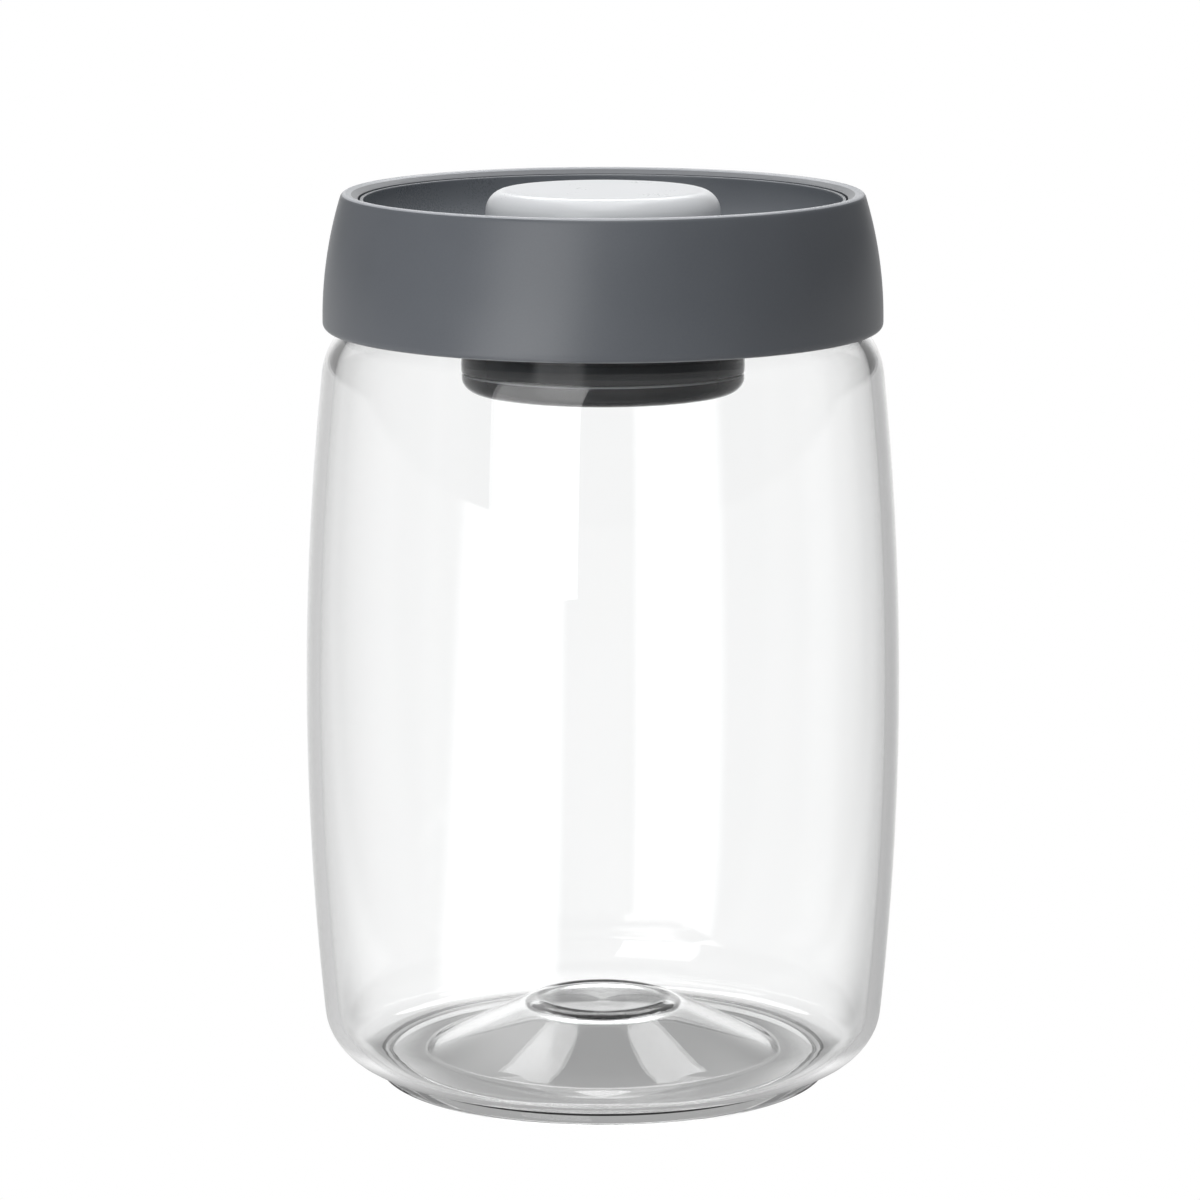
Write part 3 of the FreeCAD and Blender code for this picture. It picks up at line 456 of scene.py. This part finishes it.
jarSection = contour(jarOutline(jarForm), jarForm["grain"])
jarGlass = makePiece("jar_glass", [turned(jarSection, angles(jarForm["segments"]))],
                     "jar_body", "jar", clearGlass)
print("jar ready:", len(jarGlass.data.polygons), "faces")


# Lid cover and tray

coverForm = {
    "skirtWall": 2.3, "boreRound": 0.3, "edgeRound": 1.4, "sideStart": 1.8, "sideBow": 78.0,
    "crestRound": 1.2, "rimSlope": 30.0, "rimWidth": 1.6, "seamRound": 0.12, "lipHeight": 7.0,
    "ledgeGap": 0.1, "ledgeThickness": 1.5, "stopWidth": 1.7, "grooveDepth": 0.7, "grooveHeight": 2.6,
    "grain": 0.6, "segments": 256,
}
trayForm = {
    "wall": 1.5, "lipWidth": 1.0, "lipDrop": 0.1, "lipWall": 0.7, "lipRound": 0.3, "seamGap": 0.3,
    "bowlDepth": 10.7, "holeRound": 0.3, "buttonGap": 0.35, "collarDrop": 3.5, "collarWall": 1.6,
    "collarGap": 0.3, "grain": 0.6, "segments": 256,
}


# Both ends of the crest's arc, on the side's bow and on the sloped rim, and the seam at the rim's inner edge
def crestAndSeam(form):
    base, side = foot("lid_cover"), form["sideBow"]
    axis = reach("lid_cover") - side
    level = top("lid_cover") - form["crestRound"]
    start = base + form["sideStart"]
    run = math.sqrt((side - form["crestRound"]) ** 2 - (level - start) ** 2)
    share = side / (side - form["crestRound"])
    slope = math.radians(form["rimSlope"])
    rim = (axis + run - form["crestRound"] * math.sin(slope), level + form["crestRound"] * math.cos(slope))
    seam = (rim[0] - form["rimWidth"], rim[1] - form["rimWidth"] * math.tan(slope))
    return (axis + run * share, start + (level - start) * share), rim, seam


# Bend of the bowl between lip and deck, and where its back meets the ledge of the cover
def bowlShape(form):
    seam = crestAndSeam(coverForm)[2]
    lipTop = seam[1] - form["lipDrop"]
    bowl = seam[0] - form["lipWidth"]
    deck = top("lid_cover") - form["bowlDepth"]
    ledge = seam[1] - coverForm["lipHeight"]
    bend = lipTop - form["lipWall"] - deck
    back = bend + form["wall"]
    seat = bowl - bend + math.sqrt(back ** 2 - (deck + bend - ledge) ** 2)
    return {"lip": seam[0] - form["seamGap"], "lipTop": lipTop, "bowl": bowl, "deck": deck, "ledge": ledge,
            "bend": bend, "back": back, "foot": bowl - bend, "seat": seat}


def coverOutline(form):
    base, outer = foot("lid_cover"), reach("lid_cover")
    crest, rim, seam = crestAndSeam(form)
    bore = outer - form["skirtWall"]
    stop = top("inner_lid")
    ledge = seam[1] - form["lipHeight"]
    ledgeRadius = bowlShape(trayForm)["seat"] + form["ledgeGap"]
    groove = bore + form["grooveDepth"]
    return [
        (bore, base, form["boreRound"]),
        (outer, base, form["edgeRound"]),
        (outer, base + form["sideStart"], 0, form["sideBow"]),
        (*crest, 0, form["crestRound"]),
        rim,
        (*seam, form["seamRound"]),
        (seam[0], ledge),
        (ledgeRadius, ledge),
        (ledgeRadius, ledge - form["ledgeThickness"]),
        (seam[0], ledge - form["ledgeThickness"]),
        (bore - form["stopWidth"], stop),
        (groove, stop),
        (groove, stop - form["grooveHeight"]),
        (bore, stop - form["grooveHeight"]),
    ]


def trayOutline(form):
    shape = bowlShape(form)
    deck, ledge = shape["deck"], shape["ledge"]
    hole = reach("push_button") + form["buttonGap"]
    hub = -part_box("turn_ring")[0].y / mm  # the side away from the ring's arm
    collar = hub + form["collarGap"]
    under = deck - form["wall"]
    return [
        (hole, deck, form["holeRound"]),
        (shape["foot"], deck, 0, shape["bend"]),
        (shape["bowl"], shape["lipTop"] - form["lipWall"]),
        (shape["bowl"], shape["lipTop"], form["lipRound"]),
        (shape["lip"], shape["lipTop"], form["lipRound"]),
        (shape["lip"], ledge),
        (shape["seat"], ledge, 0, -shape["back"]),
        (shape["foot"], under),
        (collar + form["collarWall"], under),
        (collar + form["collarWall"], under - form["collarDrop"]),
        (collar, under - form["collarDrop"]),
        (collar, under),
        (hole, under),
    ]


coverSection = contour(coverOutline(coverForm), coverForm["grain"])
traySection = contour(trayOutline(trayForm), trayForm["grain"])
makePiece("lid_cover_shell", [turned(coverSection, angles(coverForm["segments"]))],
          "lid_body", "lid_cover", greyLid)
makePiece("lid_tray_bowl", [turned(traySection, angles(trayForm["segments"]))],
          "lid_body", "lid_tray", litGreyTray)
print("lid ready")


# White button: a capped tube with three keyways in its wall and three screw posts under its top

buttonForm = {
    "wall": 2.6, "topWall": 2.0, "edgeRound": 4.0, "innerRound": 2.0, "postInset": 6.5, "postRadius": 2.8,
    "posts": 3, "pilotRadius": 1.0, "pilotDepth": 6.5, "keyWidth": 3.2, "keyDepth": 1.6, "keyHeight": 1.8,
    "keys": 3, "cutStep": 0.01, "cutSlant": 0.001, "grain": 0.7, "segments": 240,
    "postGrain": 1.0, "postSegments": 40,
}
stroke = next(joint for joint in frame["joints"] if joint["name"] == "button_press")["range_m"][1] / mm


# The radius is cut back by the key depth where the turn lies in a keyway and the height below its end
def buttonCap(form):
    outer, low, high = reach("push_button"), foot("push_button"), top("push_button")
    keyTop = foot("turn_ring") + form["keyHeight"] + stroke
    step, slant = form["cutStep"], form["cutSlant"]
    outline = contour([
        (0, high),
        (outer, high, form["edgeRound"]),
        (outer, keyTop + step),
        (outer, keyTop),
        (outer, low),
        (outer - form["keyDepth"], low),
        (outer - form["wall"], low),
        (outer - form["wall"], high - form["topWall"], form["innerRound"]),
        (0, high - form["topWall"]),
    ], form["grain"])
    half = math.asin(form["keyWidth"] / 2 / outer)
    keyTurns = angles(form["keys"])
    sides = half * np.array([-1 - slant, -1, 1, 1 + slant])
    edges = (keyTurns[:, None] + sides).ravel() % fullTurn
    turns = np.unique(np.concatenate([angles(form["segments"]), edges]))
    points, quads = turned(outline, turns)
    off = np.abs((turns[:, None] - keyTurns + math.pi) % fullTurn - math.pi).min(axis=1)
    inTurn = np.repeat(off, len(outline)) <= half * (1 + slant / 2)
    inKey = inTurn & (points[:, 2] <= keyTop + step / 2)
    radius = np.hypot(points[:, 0], points[:, 1])
    cut = np.where(inKey, np.minimum(radius, outer - form["keyDepth"]), radius)
    points[:, :2] *= (cut / np.maximum(radius, tiny))[:, None]
    return points, quads


def buttonPost(form, turn):
    low, high = foot("push_button"), top("push_button") - form["topWall"] / 2
    circle = reach("push_button") - form["postInset"]
    outline = contour([
        (0, low + form["pilotDepth"]),
        (form["pilotRadius"], low + form["pilotDepth"]),
        (form["pilotRadius"], low),
        (form["postRadius"], low),
        (form["postRadius"], high),
        (0, high),
    ], form["postGrain"])
    place = (circle * math.cos(turn), circle * math.sin(turn), 0)
    return turned(outline, angles(form["postSegments"]), place)


buttonPosts = [buttonPost(buttonForm, turn) for turn in angles(buttonForm["posts"])]
makePiece("button_cap", [buttonCap(buttonForm)] + buttonPosts,
          "button_body", "push_button", whiteButton)
print("button ready")


# Silicone rings and valves

siliconeForm = {
    "gasketInner": 43.95, "gasketRound": 0.4, "edgeRound": 0.12, "pistonSealInner": 22.95,
    "pistonSealBand": 0.8, "pistonSealRelief": 0.5, "endSealInner": 24.65, "nubRadius": 2.2,
    "nubHeight": 1.0, "stemRadius": 1.5, "discEdge": 0.35, "discCrown": 0.85, "washerInner": 1.15,
    "ringGrain": 0.5, "grain": 0.4, "cordSides": 32, "segments": 160,
}


def ringSection(node, form, inner, rounding):
    outer, low, high = reach(node), foot(node), top(node)
    return contour([(inner, low, rounding), (outer, low, rounding), (outer, high, rounding),
                    (inner, high, rounding)], form["ringGrain"])


# Round cord bent to a ring: its section is a circle
def cordSection(node, form):
    cord = (top(node) - foot(node)) / 2
    turn = np.linspace(0, fullTurn, form["cordSides"] + 1)
    return np.column_stack([reach(node) - cord + cord * np.cos(turn),
                            foot(node) + cord + cord * np.sin(turn)])


def lipSection(node, form):
    outer, low, high = reach(node), foot(node), top(node)
    inner, soft = form["pistonSealInner"], form["edgeRound"]
    return contour([(inner, low, soft), (outer, low, soft), (outer, low + form["pistonSealBand"], soft),
                    (outer - form["pistonSealRelief"], high, soft), (inner, high, soft)], form["grain"])


def umbrellaSection(node, form):
    low, high, soft = foot(node), top(node), form["edgeRound"]
    under = high - form["discCrown"]
    return contour([
        (0, low),
        (form["nubRadius"], low, soft),
        (form["nubRadius"], low + form["nubHeight"], soft),
        (form["stemRadius"], low + form["nubHeight"]),
        (form["stemRadius"], under),
        (reach(node), under, soft),
        (reach(node), under + form["discEdge"], soft),
        (0, high),
    ], form["grain"])


valveMiddle = (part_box("release_valve")[0].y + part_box("release_valve")[1].y) / 2 / mm
gasketSection = ringSection("mouth_gasket", siliconeForm, siliconeForm["gasketInner"],
                            siliconeForm["gasketRound"])
endSealSection = ringSection("end_cap_seal", siliconeForm, siliconeForm["endSealInner"],
                             siliconeForm["edgeRound"])
washerSection = ringSection("release_valve_seal", siliconeForm, siliconeForm["washerInner"],
                            siliconeForm["edgeRound"])
for piece, body, node, section, aside in (
        ("gasket_ring", "lid_body", "mouth_gasket", gasketSection, 0),
        ("barrel_seal", "lid_body", "cylinder_seal", cordSection("cylinder_seal", siliconeForm), 0),
        ("barrel_end_seal", "lid_body", "end_cap_seal", endSealSection, 0),
        ("inlet_umbrella", "lid_body", "inlet_valve", umbrellaSection("inlet_valve", siliconeForm), 0),
        ("exhaust_umbrella", "button_body", "exhaust_valve",
         umbrellaSection("exhaust_valve", siliconeForm), 0),
        ("piston_lip_seal", "button_body", "piston_seal", lipSection("piston_seal", siliconeForm), 0),
        ("release_washer", "valve_body", "release_valve_seal", washerSection, valveMiddle)):
    makePiece(piece, [turned(section, angles(siliconeForm["segments"]), (0, aside, 0))],
              body, node, paleSilicone)
print("seals ready")


# Release valve: a pin with a seat disc low down and a head on the cam's ramp

stemForm = {
    "pinRadius": 1.1, "discRadius": 2.4, "discThickness": 0.9, "headThickness": 1.0, "edgeRound": 0.15,
    "grain": 0.3, "segments": 64,
}


def stemSection(form):
    low, high, disc = foot("release_valve"), top("release_valve"), top("release_valve_seal")
    soft = form["edgeRound"]
    return contour([
        (0, low),
        (form["pinRadius"], low, soft),
        (form["pinRadius"], disc),
        (form["discRadius"], disc, soft),
        (form["discRadius"], disc + form["discThickness"], soft),
        (form["pinRadius"], disc + form["discThickness"]),
        (form["pinRadius"], high - form["headThickness"]),
        (reach("release_valve"), high - form["headThickness"], soft),
        (reach("release_valve"), high, soft),
        (0, high),
    ], form["grain"])


makePiece("release_stem", [turned(stemSection(stemForm), angles(stemForm["segments"]), (0, valveMiddle, 0))],
          "valve_body", "release_valve", innerPlastic)
print("release valve ready")


# Screws: the shank's radius is a core plus a triangle wave of (height / pitch - turn), the head's top sinks
# by the recess depth where a point lies in either arm of a cross

screwForm = {
    "count": 3, "headRadius": 1.8, "headRound": 0.35, "barrelHead": 1.5, "pistonHead": 1.2,
    "shankRadius": 0.95, "coreRadius": 0.74, "pitch": 0.8, "tipRun": 0.9, "tipShare": 0.15,
    "crossHalf": 0.24, "crossReach": 1.0, "crossDepth": 0.6,
    "pitchSteps": 14, "bendSteps": 8, "faceSteps": 30, "segments": 64,
}


def screwShape(form, place, low, high, seat, pointsDown):
    length = seat - low if pointsDown else high - seat
    head = high - seat if pointsDown else seat - low
    soft, face = form["headRound"], form["headRadius"] - form["headRound"]
    climb = np.linspace(0, length, math.ceil(length / form["pitch"] * form["pitchSteps"]))
    bend = np.linspace(0, math.pi / 2, form["bendSteps"])
    inwards = np.linspace(face, 0, form["faceSteps"])[1:]
    radius = np.concatenate([[0], np.full(len(climb), form["shankRadius"]), [form["headRadius"]],
                             face + soft * np.cos(bend), inwards])
    height = np.concatenate([[0], climb, [length], length + head - soft + soft * np.sin(bend),
                             np.full(len(inwards), length + head)])
    turn = angles(form["segments"])[:, None]
    wave = 2 * np.abs((height / form["pitch"] - turn / fullTurn) % 1 - 0.5)
    ramp = np.clip(height / form["tipRun"], form["tipShare"], 1)
    onShank = (radius == form["shankRadius"]) & (height <= length)
    thread = (form["coreRadius"] + (form["shankRadius"] - form["coreRadius"]) * wave) * ramp
    radii = np.where(onShank, thread, radius)
    x, y = radii * np.cos(turn), radii * np.sin(turn)
    least, most = np.minimum(np.abs(x), np.abs(y)), np.maximum(np.abs(x), np.abs(y))
    onTop = height >= length + head - tiny
    inCross = (least < form["crossHalf"]) & (most < form["crossReach"]) & onTop
    z = np.where(inCross, height - form["crossDepth"], height)
    z = low + z if pointsDown else high - z
    points = np.stack([x, y, z], axis=-1).reshape(-1, 3) + np.array([*place, 0])
    return points, gridQuads(form["segments"], len(radius))


def screwSet(form, node, head, pointsDown):
    low, high = foot(node), top(node)
    circle = reach(node) - form["headRadius"]
    seat = high - head if pointsDown else low + head
    places = [(circle * math.cos(turn), circle * math.sin(turn)) for turn in angles(form["count"])]
    return [screwShape(form, place, low, high, seat, pointsDown) for place in places]


makePiece("barrel_screws", screwSet(screwForm, "cylinder_screws", screwForm["barrelHead"], True),
          "lid_body", "cylinder_screws", brightSteel)
makePiece("piston_screw_set", screwSet(screwForm, "piston_screws", screwForm["pistonHead"], False),
          "button_body", "piston_screws", brightSteel)
print("screws ready")


# Moulded pieces that keep the shape of their solids, the pump's seam with softened edges

seamForm = {"gap": 0.1, "barrelRound": 0.25, "endRound": 0.5}
seamRadius, seamLevel = reach("pump_end_cap"), top("pump_end_cap")
barrelRim = (seamRadius, seamLevel + seamForm["gap"], seamForm["barrelRound"])
endRim = (seamRadius, seamLevel, seamForm["endRound"])
for piece, body, node, material, slot, rim in (
        ("pump_barrel", "lid_body", "pump_cylinder", darkPump, "pump_plastic", barrelRim),
        ("pump_barrel_end", "lid_body", "pump_end_cap", darkPump, "pump_plastic", endRim),
        ("inner_lid_plug", "lid_body", "inner_lid", innerPlastic, "inner_plastic", None),
        ("piston_disc", "button_body", "piston", innerPlastic, "inner_plastic", None),
        ("turn_ring_cam", "ring_body", "turn_ring", innerPlastic, "inner_plastic", None)):
    smoothCopy(piece, body, node, material, rim)
print("moulded pieces ready")


# Return spring: radius falls evenly with each turn, height climbs between a flat turn at each end

springForm = {
    "wire": 0.45, "turns": 5, "flatTurns": 1, "turnStep": 1.4, "crown": 2.2, "pointsPerTurn": 48, "sides": 20,
}


def springPath(form):
    low, high = foot("return_spring") + form["wire"], top("return_spring") - form["wire"]
    wide = reach("return_spring") - form["wire"]
    turns = np.linspace(0, form["turns"], form["turns"] * form["pointsPerTurn"] + 1)
    climb = np.clip((turns - form["flatTurns"]) / (form["turns"] - 2 * form["flatTurns"]), 0, 1)
    radius = wide - form["turnStep"] * turns
    angle = fullTurn * turns
    return np.column_stack([radius * np.cos(angle), radius * np.sin(angle), low + (high - low) * climb])


springCoil = wireAlong(springPath(springForm), springForm["wire"], springForm["sides"])
spring = makePiece("spring_wire", [springCoil], "lid_body", "return_spring", brightSteel)
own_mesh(spring)
print("spring ready")


# Studio, in metres

floorForm = {
    "radius": 6.0, "drop": 0.0003, "firstRing": 0.004, "fineReach": 0.1, "fineRings": 25,
    "wideStart": 0.12, "wideRings": 24, "segments": 96,
    # painted shadow under the jar: its radii and its tone
    "shadowSpan": (0.044, 0.056), "shadowTone": 0.38,
    "stripHalf": 0.045, "stripStart": 0.03, "stripSpan": (0.08, 0.45), "stripTone": 1.05,
    "sideSpan": (-0.02, 0.02), "leftTone": 0.64, "rightTone": 0.52,
    "frontSpan": (-0.09, -0.05), "frontTone": 0.46, "frontRightSpan": (0.2, 0.6), "frontRightTone": 0.36,
    "glowStart": (-0.86, -0.79), "glowEnd": (-0.30, -0.22), "glowTone": 2.4, "straightTone": 1.0,
}


# Floor: a pale light table, bright in a strip behind the object and at the front left, dimmer to the sides,
# with a painted shadow under the jar; seen straight on it is plain white
def makeFloor(form):
    fine = np.linspace(form["firstRing"], form["fineReach"], form["fineRings"])
    wide = np.geomspace(form["wideStart"], form["radius"], form["wideRings"])
    radii = np.concatenate([[0], fine, wide])
    outline = np.column_stack([radii, np.full(len(radii), -form["drop"])])
    points, quads = turned(outline, angles(form["segments"]))
    mesh = bpy.data.meshes.new("studio_floor")
    mesh.from_pydata(points, [], quads[:, ::-1])
    floor = addObject("studio_floor", mesh)
    material = bpy.data.materials.new("paleFloor")
    material.use_nodes = True
    tree = material.node_tree
    tree.nodes.clear()
    place = addNode(tree, "ShaderNodeTexCoord").outputs["Object"]
    axes = addNode(tree, "ShaderNodeSeparateXYZ", {"Vector": place}).outputs
    away = addNode(tree, "ShaderNodeVectorMath", {0: place}, operation="LENGTH").outputs["Value"]
    aside = maths(tree, "DIVIDE", axes["X"], away)
    beyond = maths(tree, "SUBTRACT", maths(tree, "ABSOLUTE", axes["X"]), form["stripHalf"])
    spread = maths(tree, "DIVIDE", beyond, maths(tree, "MAXIMUM", axes["Y"], form["stripStart"]))
    edge = blend(tree, axes["X"], form["sideSpan"], form["leftTone"], form["rightTone"])
    strip = blend(tree, spread, form["stripSpan"], form["stripTone"], edge)
    front = blend(tree, aside, form["glowStart"], form["frontTone"], form["glowTone"])
    front = blend(tree, aside, form["glowEnd"], front, form["frontTone"])
    front = blend(tree, aside, form["frontRightSpan"], front, form["frontRightTone"])
    both = blend(tree, axes["Y"], form["frontSpan"], front, strip)
    # painted shadow: the floor is darker under the jar
    underJarShadow = blend(tree, away, form["shadowSpan"], form["shadowTone"], both)
    straight = addNode(tree, "ShaderNodeLightPath").outputs["Is Camera Ray"]
    glow = mixed(tree, straight, underJarShadow, form["straightTone"])
    shine = addNode(tree, "ShaderNodeEmission", {"Strength": glow}).outputs["Emission"]
    addNode(tree, "ShaderNodeOutputMaterial", {"Surface": shine})
    mesh.materials.append(material)


roomForm = {
    "leftSpan": (-0.8, -0.35), "leftTone": 0.28, "frontTone": 0.30,
    "rightSpan": (0.2, 0.6), "rightTone": 0.17,
    "backSpan": (0.3, 0.75), "backSide": (0.22, 0.40), "backTone": 1.1,
    "dimLow": (0.14, 0.19), "dimHigh": (0.36, 0.42), "dimSide": (0.06, 0.12), "dimTone": 0.24,
    "topSpan": (0.35, 0.8), "topTone": 0.50, "straightTone": 1.0,
}


# Room light by direction: a white backdrop with a dim patch in its middle, and a dimmer room round it that
# is darkest on the right; seen straight on it is white
def makeRoom(form):
    world = bpy.data.worlds.new("studioRoom")
    bpy.context.scene.world = world
    world.use_nodes = True
    tree = world.node_tree
    way = addNode(tree, "ShaderNodeTexCoord").outputs["Generated"]
    axes = addNode(tree, "ShaderNodeSeparateXYZ", {"Vector": way}).outputs
    room = blend(tree, axes["X"], form["leftSpan"], form["leftTone"], form["frontTone"])
    room = blend(tree, axes["X"], form["rightSpan"], room, form["rightTone"])
    aside = maths(tree, "ABSOLUTE", axes["X"])
    middle = blend(tree, axes["Z"], form["dimLow"], form["backTone"], form["dimTone"])
    middle = blend(tree, axes["Z"], form["dimHigh"], middle, form["backTone"])
    back = blend(tree, aside, form["dimSide"], middle, form["backTone"])
    back = blend(tree, aside, form["backSide"], back, room)
    room = blend(tree, axes["Y"], form["backSpan"], room, back)
    room = blend(tree, axes["Z"], form["topSpan"], room, form["topTone"])
    straight = addNode(tree, "ShaderNodeLightPath").outputs["Is Camera Ray"]
    level = mixed(tree, straight, room, form["straightTone"])
    setInputs(tree, tree.nodes["Background"], {"Color": (1, 1, 1, 1), "Strength": level})


softBoxes = {
    "leftBox": {"place": (-0.54, -1.07, 0.42), "aim": (0, 0, 0.12), "size": (0.80, 1.2), "radiance": 2.1},
    "topBox": {"place": (0, -0.05, 1.20), "aim": (0, -0.05, 0.16), "size": (0.6, 1.2), "radiance": 2.5},
    "backLeftBox": {"place": (-0.66, 1.2, 2.13), "aim": (0, 0, 0.1), "size": (0.28, 0.8), "radiance": 2.6},
    "backRightBox": {"place": (0.66, 1.2, 2.13), "aim": (0, 0, 0.1), "size": (0.28, 0.8), "radiance": 2.8},
    "backBox": {"place": (0, 1.2, 1.05), "aim": (0, 0, 0.16), "size": (0.7, 0.5), "radiance": 3.4},
}


def makeSoftBox(name, box):
    lamp = bpy.data.lights.new(name, "AREA")
    lamp.shape = "RECTANGLE"
    lamp.size, lamp.size_y = box["size"]
    lamp.energy = math.pi * box["radiance"] * box["size"][0] * box["size"][1]
    holder = addObject(name, lamp)
    x, y, z = np.array(box["aim"]) - np.array(box["place"])
    holder.location = box["place"]
    holder.rotation_euler = (math.atan2(math.hypot(x, y), -z), 0, math.atan2(-x, y))


cameraForm = {
    "aside": -0.00056, "distance": 0.96064, "height": 0.26456, "pitch": 10.238,
    "lens": 154.446, "sensorWidth": 36.0, "nearest": 0.05, "farthest": 50.0,  # lens and sensor in millimetres
}


def makeCamera(form):
    camera = bpy.data.cameras.new("photoCamera")
    camera.sensor_width = form["sensorWidth"]
    camera.lens = form["lens"]
    camera.clip_start, camera.clip_end = form["nearest"], form["farthest"]
    holder = addObject("photoCamera", camera)
    holder.location = (form["aside"], -form["distance"], form["height"])
    holder.rotation_euler = (math.radians(90 - form["pitch"]), 0, 0)
    bpy.context.scene.camera = holder


makeFloor(floorForm)
makeRoom(roomForm)
for boxName, box in softBoxes.items():
    makeSoftBox(boxName, box)
makeCamera(cameraForm)
bpy.context.scene.view_settings.view_transform = "Standard"
print("studio ready")
